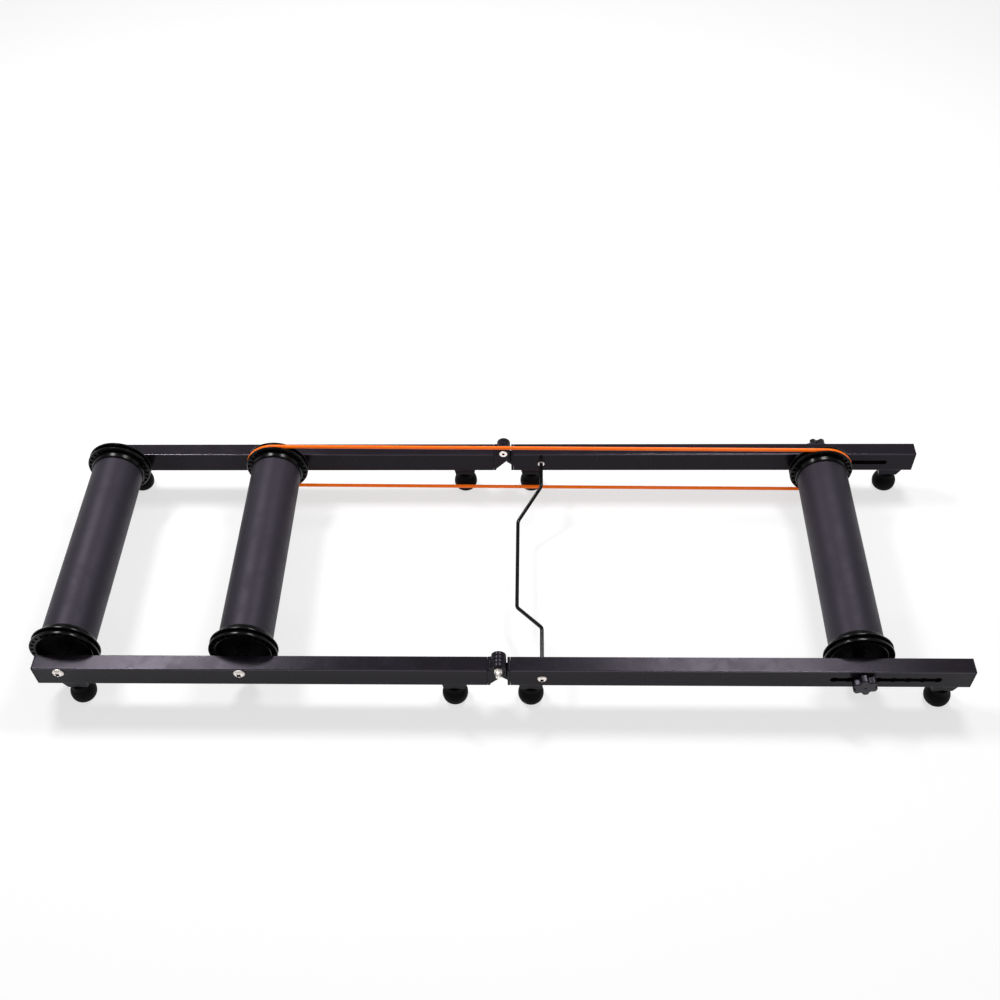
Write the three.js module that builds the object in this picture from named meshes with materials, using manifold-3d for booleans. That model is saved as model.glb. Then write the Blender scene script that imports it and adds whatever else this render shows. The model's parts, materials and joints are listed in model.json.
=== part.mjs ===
// Folding bike rollers: two rail frames joined by a hinge, three turning drums and a drive belt.
// Millimetres. +X runs along the rails towards the front drum, +Y away from the near rail, +Z up.
// Pieces are drawn from the hinge pin's line on the floor, then moved so that the origin lies below
// the middle of the whole, whose rear drum stands out past the ends of the rails.
import * as THREE from 'three';
import { mergeVertices } from 'three/addons/utils/BufferGeometryUtils.js';
import Module from 'manifold-3d';

const wasm = await Module();
wasm.setup();

// Clearances
const seatGap = 0.3;
const cutOverrun = 1;
const mergeDistance = 0.00001;

// Rails
const overallLength = 1374;
const overallWidth = 450;
const railWidth = 25;
const railHeight = 40;
const railWall = 1.5;
const railCorner = 1.5;
const railInnerCornerShare = 0.3;

// End plugs
const plugFlange = 2;
const plugDepth = 14;
const plugWall = 2.5;
const plugCorner = 1.5;

// Feet and the brackets welded under the rails
const bracketHeight = 14.5;
const bracketTopWidth = 36;
const bracketFootWidth = 30.5;
const bracketDepth = 21;
const bracketSheet = 2.5;
const footHeight = 34.5;
const footRadius = 19.3;
const footWidestHeight = 11.5;
const footSoleRadius = 15;
const footWaistRadius = 14;
const footWaistHeight = 26;
const footNeckRadius = 13;
const rearOuterFootFromEnd = 54.2;
const rearInnerFootFromHinge = 66.8;
const frontInnerFootFromHinge = 47;
const frontOuterFootFromEnd = 35.5;

// Hinge between the rear and the front frame
const hingeGap = 34;
const hingePlate = 4.3;
const pinAboveRail = 3.5;
const pinRadius = 3;
const knuckleRadius = 11.1;
const knuckleGap = 0.35;
const notchAboveRailBottom = 22.5;
const notchPastPin = 4.5;
const rearLugRise = 1.4;
const frontLugRise = 13.5;
const frontSlitDepth = 18;
const frontSlitFall = 2;
const webReachShare = 0.85;
const boltHeadRadius = 6.7;
const boltHeadHeight = 2.2;
const boltSocketRadius = 2.9;
const boltSocketDepth = 1.3;
const capNutAcrossFlats = 10.9;
const capNutDomeRadius = 4.9;
const longCapNutHeight = 14;
const longCapNutHexHeight = 6;
const shortCapNutHeight = 7.2;
const shortCapNutHexHeight = 5.3;

// Drums
const drumRadius = 40.5;
const drumWall = 2;
const rollerSideGap = 10;
const rearAxleFromEnd = 38.7;
const rearPairSpacing = 268.2;
const frontAxleFromEnd = 157.6;
const rearAxleBelowRailTop = 9.5;
const axleRadius = 5;

// Drive belt, a round elastic cord
const beltRadius = 2.5;
const beltSeatGap = 0.5;

// Drum end caps, which are also belt pulleys
const capRadius = 51.2;
const outerBand = 3.7;
const innerBand = 2.5;
const innerSlope = 2;
const innerSlopeDrop = 1.7;
const grooveDepth = 5.8;
const grooveDraft = 0.1;
const lipLength = 9.6;
const lipWall = 1.4;
const lipRootWall = 3.2;
const dishRim = 9.4;
const dishDepth = 8;
const hubWall = 3.7;
const tubeSeatDepth = 11;
const windowRim = 2.4;
const windowHeight = 4.4;
const windowDepth = 2.6;
const windowWidthShare = 0.55;

// Ball bearings in the caps
const bearingRadius = 15;
const bearingWidth = 9;
const bearingShoulder = 2;
const hubBoreGap = 1;

// Spacers and nuts on the axles
const spacerRadius = 8;
const innerNutAcrossFlats = 17;
const innerNutHeight = 7;
const axleNutFlangeRadius = 8.9;
const axleNutHeight = 4.3;
const axleNutSocketRadius = 2.9;
const axleNutSocketDepth = 2.5;
const axleNutSleeve = 13.3;
const axleNutBore = 10;
const axleStubRadius = 3;
const axleShoulderFromNut = 3;

// Notched slots for the front axle
const slotPitch = 21.3;
const slotHalfHeight = 3.2;
const slotStepsBack = 2;
const slotStepsForward = 5;
const notchRadius = 5.3;

// Clamp knobs
const knobRadius = 18.3;
const knobLobes = 6;
const knobLobeDepth = 5;
const knobLobeFlatShare = 0.25;
const nearKnobTurnShare = 0.286;
const farKnobTurnShare = 0.169;
const knobThickness = 12.4;
const knobBevel = 1.4;
const knobCollarRadius = 10;
const knobCollar = 2.4;
const knobBoreDepth = 9;
const knobFaceHoleRadius = 1.6;
const knobFaceHoleDepth = 1.5;

// Stand rod, bent from round wire
const rodRadius = 3;
const rodPivotFromHinge = 63.4;
const rodOffsetBack = 38.4;
const rodOffsetDown = 24.6;
const rodNearStub = 64.2;
const rodFarStub = 53.6;
const rodSlant = 54.8;
const rodBendRadius = 13;
const rodHeadRadius = 6.9;
const rodHeadHeight = 3.4;
const rodSocketRadius = 2.4;
const rodSocketDepth = 1.6;
const rodNutRadius = 5.5;
const rodNutHeight = 3.2;

// Counts of copies and facets
const knuckleCount = 4;
const windowCount = 10;
const drumSides = 20;
const boreSides = 8;
const footSides = 12;
const headSides = 8;
const notchSides = 8;
const hexSides = 6;
const cordSides = 6;
const pointsPerLobe = 5;
const bendSteps = 3;
const beltStepsPerTurn = 12;

// Profiles of rounded heads, as shares of the radius and of the height above the seat
const domeShares = [[0, 1], [0.55, 1], [0.76, 0.9], [1, 0.43], [1, 0], [0, 0]];
const buttonShares = [[0, 1], [0.55, 1], [0.9, 0.55], [1, 0], [0, 0]];
const flangeButtonShares = [[0, 1], [0.52, 1], [0.82, 0.24], [1, 0.24], [1, 0], [0, 0]];

// Places worked out from the sizes above
const half = 0.5;
const quarterTurn = Math.PI * half;
const railBottom = footHeight + bracketHeight;
const railTop = railBottom + railHeight;
const railMiddle = railBottom + railHeight * half;
const frameHalfLength = overallLength * half;
const frameHalfWidth = overallWidth * half;
const railInner = frameHalfWidth - railWidth;
const railCentreY = frameHalfWidth - railWidth * half;
const railOuterEnd = frameHalfLength - plugFlange - seatGap;
const railInnerEnd = hingeGap * half;
const rearAxleX = rearAxleFromEnd - frameHalfLength;
const middleAxleX = rearAxleX + rearPairSpacing;
const rearAxleZ = railTop - rearAxleBelowRailTop;
const frontAxleX = frameHalfLength - frontAxleFromEnd;
const frontAxleZ = railMiddle;
const axleHole = axleRadius + seatGap;
const pinZ = railTop + pinAboveRail;
const capFace = railInner - rollerSideGap;
const grooveStart = outerBand;
const grooveEnd = grooveStart + 2 * (beltRadius + seatGap + grooveDraft);
const capWidth = grooveEnd + innerBand + innerSlope;
const grooveRadius = capRadius - grooveDepth;
const beltPitchRadius = grooveRadius + beltSeatGap + beltRadius;
const beltY = capFace - (grooveStart + grooveEnd) * half;
const middleShift = Math.max(0, capRadius - rearAxleFromEnd) * half;

const near = -1;
const far = 1;
const sides = { near, far };

// Materials, by finish
const finish = (color, roughness, metalness) => () =>
  new THREE.MeshStandardMaterial({ color, roughness, metalness });
const railPaint = finish(0x2a282c, 0.42, 0.3);
const drumPaint = finish(0x35323a, 0.38, 0.35);
const blackPlastic = finish(0x121113, 0.3, 0);
const rubber = finish(0x1b1a1c, 0.75, 0);
const zinc = finish(0xc4c6c8, 0.28, 1);
const blackSteel = finish(0x2b2b2d, 0.35, 0.8);
const knobPlastic = finish(0x222125, 0.5, 0);
const rodPaint = finish(0x141416, 0.25, 0.4);
const orangeCord = finish(0xff7410, 0.45, 0);

const rollers = new THREE.Group();
rollers.name = 'bike_rollers';

// Adds one named piece, whose solid is already in its place.
function addPiece(name, solid, material) {
  const mesh = new THREE.Mesh(geometryOf(solid).translate(middleShift, 0, 0), material());
  mesh.name = name;
  rollers.add(mesh);
}

// A closed solid from a three.js geometry.
function solidOf(geometry) {
  const bare = geometry.clone();
  bare.deleteAttribute('normal');
  bare.deleteAttribute('uv');
  const merged = mergeVertices(bare, mergeDistance);
  const triangles = Uint32Array.from(merged.index.array);
  const corners = Float32Array.from(merged.attributes.position.array);
  if (signedVolume(corners, triangles) < 0) turnInsideOut(triangles);
  return new wasm.Manifold(new wasm.Mesh({
    numProp: 3,
    vertProperties: corners,
    triVerts: triangles,
  }));
}

function signedVolume(corners, triangles) {
  const [a, b, c] = [new THREE.Vector3(), new THREE.Vector3(), new THREE.Vector3()];
  let volume = 0;
  for (let i = 0; i < triangles.length; i += 3) {
    a.fromArray(corners, 3 * triangles[i]);
    b.fromArray(corners, 3 * triangles[i + 1]);
    c.fromArray(corners, 3 * triangles[i + 2]);
    volume += a.dot(b.cross(c)) / 6;
  }
  return volume;
}

function turnInsideOut(triangles) {
  for (let i = 0; i < triangles.length; i += 3) {
    [triangles[i + 1], triangles[i + 2]] = [triangles[i + 2], triangles[i + 1]];
  }
}

function geometryOf(solid) {
  const mesh = solid.getMesh();
  const geometry = new THREE.BufferGeometry();
  geometry.setAttribute('position', new THREE.BufferAttribute(Float32Array.from(mesh.vertProperties), 3));
  geometry.setIndex(new THREE.BufferAttribute(Uint32Array.from(mesh.triVerts), 1));
  const faceted = geometry.toNonIndexed();
  faceted.computeVertexNormals();
  return faceted;
}

const joined = (...solids) => solids.reduce((sum, solid) => sum.add(solid));
const cut = (solid, ...tools) => tools.reduce((rest, tool) => rest.subtract(tool), solid);

// A box between two corners.
function block([x0, y0, z0], [x1, y1, z1]) {
  const box = new THREE.BoxGeometry(Math.abs(x1 - x0), Math.abs(y1 - y0), Math.abs(z1 - z0));
  return solidOf(box.translate((x0 + x1) * half, (y0 + y1) * half, (z0 + z1) * half));
}

// A shape drawn in X and Z, pushed across the rollers from y0 to y1.
function across(shape, y0, y1) {
  const [low, high] = [Math.min(y0, y1), Math.max(y0, y1)];
  const flat = new THREE.ExtrudeGeometry(shape, { depth: high - low, bevelEnabled: false, curveSegments: 4 });
  return solidOf(flat.rotateX(quarterTurn).translate(0, high, 0));
}

// A shape drawn in Y and Z, pushed along the rails from x0 to x1.
function along(shape, x0, x1) {
  const [low, high] = [Math.min(x0, x1), Math.max(x0, x1)];
  const flat = new THREE.ExtrudeGeometry(shape, { depth: high - low, bevelEnabled: false, curveSegments: 1 });
  return solidOf(flat.rotateX(quarterTurn).rotateZ(quarterTurn).translate(low, 0, 0));
}

// A closed [radius, distance] profile turned about an axis along Y through (x, z).
// Distances run from the face at y towards the middle of the rollers.
function turned(profile, x, y, z, side, segments) {
  const points = profile.map(([radius, inward]) => new THREE.Vector2(radius, y - side * inward));
  points.push(points[0].clone());
  return solidOf(new THREE.LatheGeometry(points, segments).translate(x, 0, z));
}

// A plain round bar along Y, with a flat on top.
function barAcross(radius, x, z, y0, y1, segments = boreSides) {
  const bar = new THREE.CylinderGeometry(radius, radius, Math.abs(y1 - y0), segments);
  return solidOf(bar.rotateY(Math.PI / segments).translate(x, (y0 + y1) * half, z));
}

// The same for a hole: its flats, not its corners, lie at the radius.
function holeAcross(radius, x, z, y0, y1, segments = boreSides) {
  return barAcross(radius / Math.cos(Math.PI / segments), x, z, y0, y1, segments);
}

// A hexagonal bar along Y.
function hexAcross(acrossFlats, x, z, y0, y1) {
  return barAcross(acrossFlats * half / Math.cos(Math.PI / hexSides), x, z, y0, y1, hexSides);
}

// A rectangle with rounded corners about (u, v).
function roundedRectangle(width, height, corner, u, v) {
  const shape = new THREE.Shape();
  const [w, h] = [width * half - corner, height * half - corner];
  shape.absarc(u + w, v + h, corner, 0, quarterTurn);
  shape.absarc(u - w, v + h, corner, quarterTurn, 2 * quarterTurn);
  shape.absarc(u - w, v - h, corner, 2 * quarterTurn, 3 * quarterTurn);
  shape.absarc(u + w, v - h, corner, 3 * quarterTurn, 4 * quarterTurn);
  return shape;
}

function outline(...points) {
  return new THREE.Shape(points.map(([u, v]) => new THREE.Vector2(u, v)));
}

// Rails

function railTube(side, x0, x1) {
  const y = side * railCentreY;
  const innerWidth = railWidth - 2 * railWall;
  const innerHeight = railHeight - 2 * railWall;
  const tube = along(roundedRectangle(railWidth, railHeight, railCorner, y, railMiddle), x0, x1);
  const hollow = along(
    roundedRectangle(innerWidth, innerHeight, railCorner * railInnerCornerShare, y, railMiddle),
    x0 - cutOverrun, x1 + cutOverrun,
  );
  return cut(tube, hollow);
}

// A sheet-metal channel, open towards both ends of the rail, that narrows down to the foot.
function footBracket(side, x) {
  const y = side * railCentreY;
  const top = railBottom + railWall * half;
  const channel = across(
    outline(
      [x - bracketTopWidth * half, top],
      [x - bracketTopWidth * half, railBottom],
      [x - bracketFootWidth * half, footHeight],
      [x + bracketFootWidth * half, footHeight],
      [x + bracketTopWidth * half, railBottom],
      [x + bracketTopWidth * half, top],
    ),
    y - bracketDepth * half, y + bracketDepth * half,
  );
  const reachX = bracketTopWidth * half + cutOverrun;
  const reachY = bracketDepth * half - bracketSheet;
  const inside = block(
    [x - reachX, y - reachY, footHeight + bracketSheet],
    [x + reachX, y + reachY, railBottom],
  );
  return cut(channel, inside);
}

function boltHolesThroughRail(side, places) {
  const [y0, y1] = [side * (railInner - cutOverrun), side * (frameHalfWidth + cutOverrun)];
  return places.map(({ x, z, radius }) => holeAcross(radius, x, z, y0, y1));
}

// The slot that the front axle slides in: round notches, one pitch apart, joined by a narrower slit.
function notchedSlot(side) {
  const [y0, y1] = [side * (railInner - cutOverrun), side * (frameHalfWidth + cutOverrun)];
  const first = frontAxleX - slotStepsBack * slotPitch;
  const last = frontAxleX + slotStepsForward * slotPitch;
  let slot = block(
    [first, y0, frontAxleZ - slotHalfHeight],
    [last, y1, frontAxleZ + slotHalfHeight],
  );
  for (let step = -slotStepsBack; step <= slotStepsForward; step += 1) {
    slot = slot.add(holeAcross(notchRadius, frontAxleX + step * slotPitch, frontAxleZ, y0, y1, notchSides));
  }
  return slot;
}

const rearFeetX = [rearOuterFootFromEnd - frameHalfLength, -rearInnerFootFromHinge];
const frontFeetX = [frontInnerFootFromHinge, frameHalfLength - frontOuterFootFromEnd];

for (const [sideName, side] of Object.entries(sides)) {
  const rearHoles = boltHolesThroughRail(side, [
    { x: rearAxleX, z: rearAxleZ, radius: axleHole },
    { x: middleAxleX, z: rearAxleZ, radius: axleHole },
  ]);
  const rearRail = joined(
    railTube(side, -railOuterEnd, -railInnerEnd),
    ...rearFeetX.map((x) => footBracket(side, x)),
  );
  addPiece(`rear_rail_${sideName}`, cut(rearRail, ...rearHoles), railPaint);

  const frontHoles = boltHolesThroughRail(side, [
    { x: rodPivotFromHinge, z: railMiddle, radius: rodRadius + seatGap },
  ]);
  const frontRail = joined(
    railTube(side, railInnerEnd, railOuterEnd),
    ...frontFeetX.map((x) => footBracket(side, x)),
  );
  addPiece(`front_rail_${sideName}`, cut(frontRail, ...frontHoles, notchedSlot(side)), railPaint);
}

// A pushed-in end plug: a flange over the tube's end and a hollow stem inside it.
function endPlug(side, end) {
  const y = side * railCentreY;
  const face = end * frameHalfLength;
  const seat = face - end * plugFlange;
  const stemWidth = railWidth - 2 * (railWall + seatGap);
  const stemHeight = railHeight - 2 * (railWall + seatGap);
  const flange = along(roundedRectangle(railWidth, railHeight, railCorner, y, railMiddle), seat, face);
  const stem = along(
    roundedRectangle(stemWidth, stemHeight, plugCorner, y, railMiddle),
    seat - end * plugDepth, seat + end * plugFlange * half,
  );
  const reachY = stemWidth * half - plugWall;
  const reachZ = stemHeight * half - plugWall;
  const hollow = block(
    [seat - end * (plugDepth + cutOverrun), y - reachY, railMiddle - reachZ],
    [seat, y + reachY, railMiddle + reachZ],
  );
  return cut(joined(flange, stem), hollow);
}

for (const [sideName, side] of Object.entries(sides)) {
  addPiece(`rear_plug_${sideName}`, endPlug(side, -1), blackPlastic);
  addPiece(`front_plug_${sideName}`, endPlug(side, 1), blackPlastic);
}

// Feet

// A rubber foot: a narrow neck under the bracket, a bulging body and a flat sole.
function rubberFoot(side, x) {
  const top = footHeight - seatGap;
  const profile = new THREE.Path();
  profile.moveTo(0, 0);
  profile.lineTo(footSoleRadius, 0);
  profile.quadraticCurveTo(footRadius, footWidestHeight * half * half, footRadius, footWidestHeight);
  profile.quadraticCurveTo(
    footRadius, (footWidestHeight + footWaistHeight) * half, footWaistRadius, footWaistHeight,
  );
  profile.lineTo(footNeckRadius, top);
  profile.lineTo(0, top);
  const lathe = new THREE.LatheGeometry(profile.getPoints(2), footSides);
  return solidOf(lathe.rotateX(quarterTurn).translate(x, side * railCentreY, 0));
}

for (const [sideName, side] of Object.entries(sides)) {
  addPiece(`foot_rear_outer_${sideName}`, rubberFoot(side, rearFeetX[0]), rubber);
  addPiece(`foot_rear_inner_${sideName}`, rubberFoot(side, rearFeetX[1]), rubber);
  addPiece(`foot_front_inner_${sideName}`, rubberFoot(side, frontFeetX[0]), rubber);
  addPiece(`foot_front_outer_${sideName}`, rubberFoot(side, frontFeetX[1]), rubber);
}

// Hinge: a plate welded over each rail's inner end, with two knuckles that mesh with the other leaf's.

const knuckleWidth = (railWidth - (knuckleCount - 1) * knuckleGap) / knuckleCount;

// The outer face of knuckle number n, counted from the outside of the frame.
const knuckleFace = (n) => frameHalfWidth - n * (knuckleWidth + knuckleGap);

// The lower edges of both leaves slant up to a notch below the pin, so together they leave a V below
// the hinge. From the notch, straight edges run up to the knuckles and touch them at these turns.
const plateMiddle = railInnerEnd - hingePlate * half;
const notchZ = railBottom + notchAboveRailBottom;
const notchTurn = Math.atan2(notchZ - pinZ, notchPastPin);
const touchTurn = Math.acos(knuckleRadius / Math.hypot(notchPastPin, notchZ - pinZ));
const frontTouch = notchTurn + touchTurn;
const rearTouch = notchTurn - touchTurn;
const slitEnd = railTop - frontSlitDepth;

// The rear leaf's lugs are closed up to the rail's top.
function rearLugShape() {
  const shape = new THREE.Shape();
  shape.moveTo(-plateMiddle, railBottom + rearLugRise);
  shape.lineTo(notchPastPin, notchZ);
  shape.absarc(0, pinZ, knuckleRadius, frontTouch, Math.PI + Math.asin(pinAboveRail / knuckleRadius), false);
  shape.lineTo(-plateMiddle, railTop);
  return shape;
}

// The front leaf's lugs leave a slit between the knuckles and the plate.
function frontLugShape() {
  const shape = new THREE.Shape();
  shape.moveTo(plateMiddle, railBottom + frontLugRise);
  shape.lineTo(notchPastPin, notchZ);
  shape.absarc(0, pinZ, knuckleRadius, rearTouch, 0, true);
  shape.lineTo(knuckleRadius, slitEnd);
  shape.lineTo(plateMiddle, slitEnd - frontSlitFall);
  return shape;
}

// The web joins the front leaf's lugs and reaches up beside the rear ones, just clear of them.
function frontWebShape() {
  const clear = knuckleGap / Math.cos(frontTouch);
  const fall = (notchZ - railBottom - frontLugRise) * clear / (plateMiddle - notchPastPin);
  const run = knuckleRadius * Math.cos(frontTouch) - notchPastPin;
  const rise = pinZ + knuckleRadius * Math.sin(frontTouch) - notchZ;
  const tipZ = notchZ + rise * webReachShare;
  return outline(
    [plateMiddle, railBottom + frontLugRise],
    [notchPastPin + clear, notchZ - fall],
    [notchPastPin + clear + run * webReachShare, tipZ],
    [knuckleRadius, tipZ],
    [knuckleRadius, slitEnd],
    [plateMiddle, slitEnd - frontSlitFall],
  );
}

function hingeLeaf(side, end) {
  const y = side * railCentreY;
  const isFront = end > 0;
  const pieces = [along(
    roundedRectangle(railWidth, railHeight, railCorner, y, railMiddle),
    end * (railInnerEnd - seatGap), end * (railInnerEnd - hingePlate),
  )];
  const lug = isFront ? frontLugShape() : rearLugShape();
  for (let n = isFront ? 1 : 0; n < knuckleCount; n += 2) {
    pieces.push(across(lug, side * knuckleFace(n), side * (knuckleFace(n) - knuckleWidth)));
  }
  if (isFront) pieces.push(across(frontWebShape(), side * railInner, side * frameHalfWidth));
  const pinHole = holeAcross(
    pinRadius + seatGap, 0, pinZ,
    side * (railInner - cutOverrun), side * (frameHalfWidth + cutOverrun),
  );
  return cut(joined(...pieces), pinHole);
}

// The bolt's head is on the inside of the frame and its domed nut on the outside.
function hingeBolt(side, nutHexHeight) {
  const head = side * (railInner - seatGap);
  const top = head - side * boltHeadHeight;
  const shank = side * (frameHalfWidth + nutHexHeight);
  const body = joined(
    barAcross(boltHeadRadius, 0, pinZ, head, top, headSides),
    barAcross(pinRadius, 0, pinZ, top + side * boltSocketDepth, shank),
  );
  const socket = barAcross(
    boltSocketRadius, 0, pinZ, top + side * boltSocketDepth, top - side * cutOverrun, hexSides,
  );
  return cut(body, socket);
}

// A rounded head along Y, from shares of its radius and height.
function roundedHead(shares, radius, height, x, z, seat, side) {
  const profile = shares.map(([r, h]) => [radius * r, -height * h]);
  return turned(profile, x, seat, z, side, headSides);
}

// A domed nut, long on the near side and short on the far one.
function domedNut(side, height, hexHeight) {
  const seat = side * (frameHalfWidth + seatGap);
  const hexEnd = seat + side * hexHeight;
  const hex = hexAcross(capNutAcrossFlats, 0, pinZ, seat, hexEnd);
  const dome = roundedHead(domeShares, capNutDomeRadius, height, 0, pinZ, seat, side);
  const thread = holeAcross(pinRadius + seatGap, 0, pinZ, seat - side * cutOverrun, hexEnd);
  return cut(joined(hex, dome), thread);
}

for (const [sideName, side] of Object.entries(sides)) {
  const nutHeight = side === near ? longCapNutHeight : shortCapNutHeight;
  const nutHexHeight = side === near ? longCapNutHexHeight : shortCapNutHexHeight;
  addPiece(`hinge_leaf_rear_${sideName}`, hingeLeaf(side, -1), railPaint);
  addPiece(`hinge_leaf_front_${sideName}`, hingeLeaf(side, 1), railPaint);
  addPiece(`hinge_bolt_${sideName}`, hingeBolt(side, nutHexHeight), zinc);
  addPiece(`hinge_cap_nut_${sideName}`, domedNut(side, nutHeight, nutHexHeight), zinc);
}

// Rollers: a tube between two end caps, each with a ball bearing on the axle.

// The end cap's section: a dished outer face, a belt groove near it, a second flange that slopes in,
// a long lip round the tube and a hub that holds the bearing behind a shoulder.
const shoulderFace = dishDepth + bearingShoulder;
const bearingFace = shoulderFace + seatGap;
const bearingEnd = bearingFace + bearingWidth;
const seatRadius = bearingRadius + seatGap;
const hubBore = spacerRadius + hubBoreGap;
const tubeHole = drumRadius + seatGap;
const capProfile = [
  [seatRadius, bearingEnd],
  [seatRadius, shoulderFace],
  [hubBore, shoulderFace],
  [hubBore, dishDepth],
  [seatRadius + hubWall, dishDepth],
  [capRadius - dishRim, 0],
  [capRadius, 0],
  [capRadius, grooveStart],
  [grooveRadius, grooveStart + grooveDraft],
  [grooveRadius, grooveEnd - grooveDraft],
  [capRadius, grooveEnd],
  [capRadius, capWidth - innerSlope],
  [capRadius - innerSlopeDrop, capWidth],
  [tubeHole + lipRootWall, capWidth],
  [tubeHole + lipWall, capWidth + lipLength],
  [tubeHole, capWidth + lipLength],
  [tubeHole, tubeSeatDepth],
  [drumRadius - drumWall - seatGap, tubeSeatDepth],
];

// A blind window between two ribs, cut into a flange's face.
function capWindow(x, y, z, side, turn, from, to) {
  const halfAngle = Math.PI * windowWidthShare / windowCount;
  const outer = capRadius - windowRim;
  const inner = outer - windowHeight;
  const corner = (radius, angle) => [x + radius * Math.cos(angle), z + radius * Math.sin(angle)];
  const shape = outline(
    corner(inner, turn - halfAngle),
    corner(outer, turn - halfAngle),
    corner(outer, turn + halfAngle),
    corner(inner, turn + halfAngle),
  );
  return across(shape, y - side * from, y - side * to);
}

function endCap(x, z, side) {
  const face = side * capFace;
  const windows = [];
  for (let n = 0; n < windowCount; n += 1) {
    const turn = (n + half) * 4 * quarterTurn / windowCount;
    windows.push(capWindow(x, face, z, side, turn, -cutOverrun, windowDepth));
    windows.push(capWindow(x, face, z, side, turn, capWidth - windowDepth, capWidth + cutOverrun));
  }
  return cut(turned(capProfile, x, face, z, side, drumSides), ...windows);
}

function drumTube(x, z) {
  const reach = capFace - tubeSeatDepth - seatGap;
  return turned(
    [
      [drumRadius, -reach],
      [drumRadius, reach],
      [drumRadius - drumWall, reach],
      [drumRadius - drumWall, -reach],
    ],
    x, 0, z, far, drumSides,
  );
}

// A sealed ball bearing.
function ballBearing(x, z, side) {
  const outer = side * (capFace - bearingFace);
  const inner = outer - side * bearingWidth;
  const ring = barAcross(bearingRadius, x, z, outer, inner);
  return cut(ring, holeAcross(axleHole, x, z, outer + side * cutOverrun, inner - side * cutOverrun));
}

// A sleeve from the bearing's inner race to a nut that bears on the rail's inner face.
function axleSpacer(x, z, side) {
  const rail = side * (railInner - seatGap);
  const nutEnd = side * (railInner - seatGap - innerNutHeight);
  const race = side * (capFace - bearingFace + seatGap);
  const body = joined(
    hexAcross(innerNutAcrossFlats, x, z, rail, nutEnd),
    barAcross(spacerRadius, x, z, nutEnd + side * seatGap, race),
  );
  return cut(body, holeAcross(axleHole, x, z, rail + side * cutOverrun, race - side * cutOverrun));
}

// A sleeve nut: a flanged button head with a hexagon socket outside the rail, and a sleeve that
// passes through the rail's wall and takes the axle's stub.
function sleeveNut(x, z, side) {
  const seat = side * (frameHalfWidth + seatGap);
  const top = seat + side * axleNutHeight;
  const sleeveEnd = seat - side * axleNutSleeve;
  const head = roundedHead(flangeButtonShares, axleNutFlangeRadius, axleNutHeight, x, z, seat, side);
  const sleeve = barAcross(axleRadius, x, z, seat, sleeveEnd, headSides);
  const socket = barAcross(
    axleNutSocketRadius, x, z, top - side * axleNutSocketDepth, top + side * cutOverrun, hexSides,
  );
  const bore = holeAcross(
    axleStubRadius + seatGap, x, z, sleeveEnd + side * axleNutBore, sleeveEnd - side * cutOverrun,
  );
  return cut(joined(head, sleeve), socket, bore);
}

// An axle with a thinner stub at each end.
function steppedAxle(x, z, { shoulder, stubRadius, stubEnd }) {
  return joined(
    barAcross(axleRadius, x, z, -shoulder, shoulder),
    barAcross(stubRadius, x, z, -stubEnd, stubEnd),
  );
}

const nutSleeveEnd = frameHalfWidth + seatGap - axleNutSleeve;
const fixedEnds = {
  shoulder: nutSleeveEnd - axleShoulderFromNut,
  stubRadius: axleStubRadius,
  stubEnd: nutSleeveEnd + axleNutBore - seatGap,
};
const slidingEnds = {
  shoulder: railInner - seatGap,
  stubRadius: slotHalfHeight - seatGap,
  stubEnd: frameHalfWidth + knobCollar + knobBoreDepth - seatGap,
};

const rollerPlaces = [
  { name: 'rear', x: rearAxleX, z: rearAxleZ, ends: fixedEnds, nuts: true },
  { name: 'middle', x: middleAxleX, z: rearAxleZ, ends: fixedEnds, nuts: true },
  { name: 'front', x: frontAxleX, z: frontAxleZ, ends: slidingEnds, nuts: false },
];

for (const { name, x, z, ends, nuts } of rollerPlaces) {
  addPiece(`${name}_drum_tube`, drumTube(x, z), drumPaint);
  addPiece(`${name}_axle`, steppedAxle(x, z, ends), zinc);
  for (const [sideName, side] of Object.entries(sides)) {
    addPiece(`${name}_end_cap_${sideName}`, endCap(x, z, side), blackPlastic);
    addPiece(`${name}_bearing_${sideName}`, ballBearing(x, z, side), zinc);
    addPiece(`${name}_spacer_${sideName}`, axleSpacer(x, z, side), blackSteel);
    if (nuts) addPiece(`${name}_axle_nut_${sideName}`, sleeveNut(x, z, side), zinc);
  }
}

// Clamp knobs on the ends of the front axle

// A star outline: lobes with flat tops, and round hollows between them. One lobe points to firstTurn.
function starShape(radius, hollow, firstTurn) {
  const points = [];
  const count = knobLobes * pointsPerLobe;
  for (let n = 0; n < count; n += 1) {
    const turn = n * 4 * quarterTurn / count;
    const wave = (1 - Math.cos(knobLobes * turn)) * half;
    const dip = Math.max(0, wave - knobLobeFlatShare) / (1 - knobLobeFlatShare);
    const reach = radius - hollow * dip;
    points.push([reach * Math.cos(turn + firstTurn), reach * Math.sin(turn + firstTurn)]);
  }
  return outline(...points);
}

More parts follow.
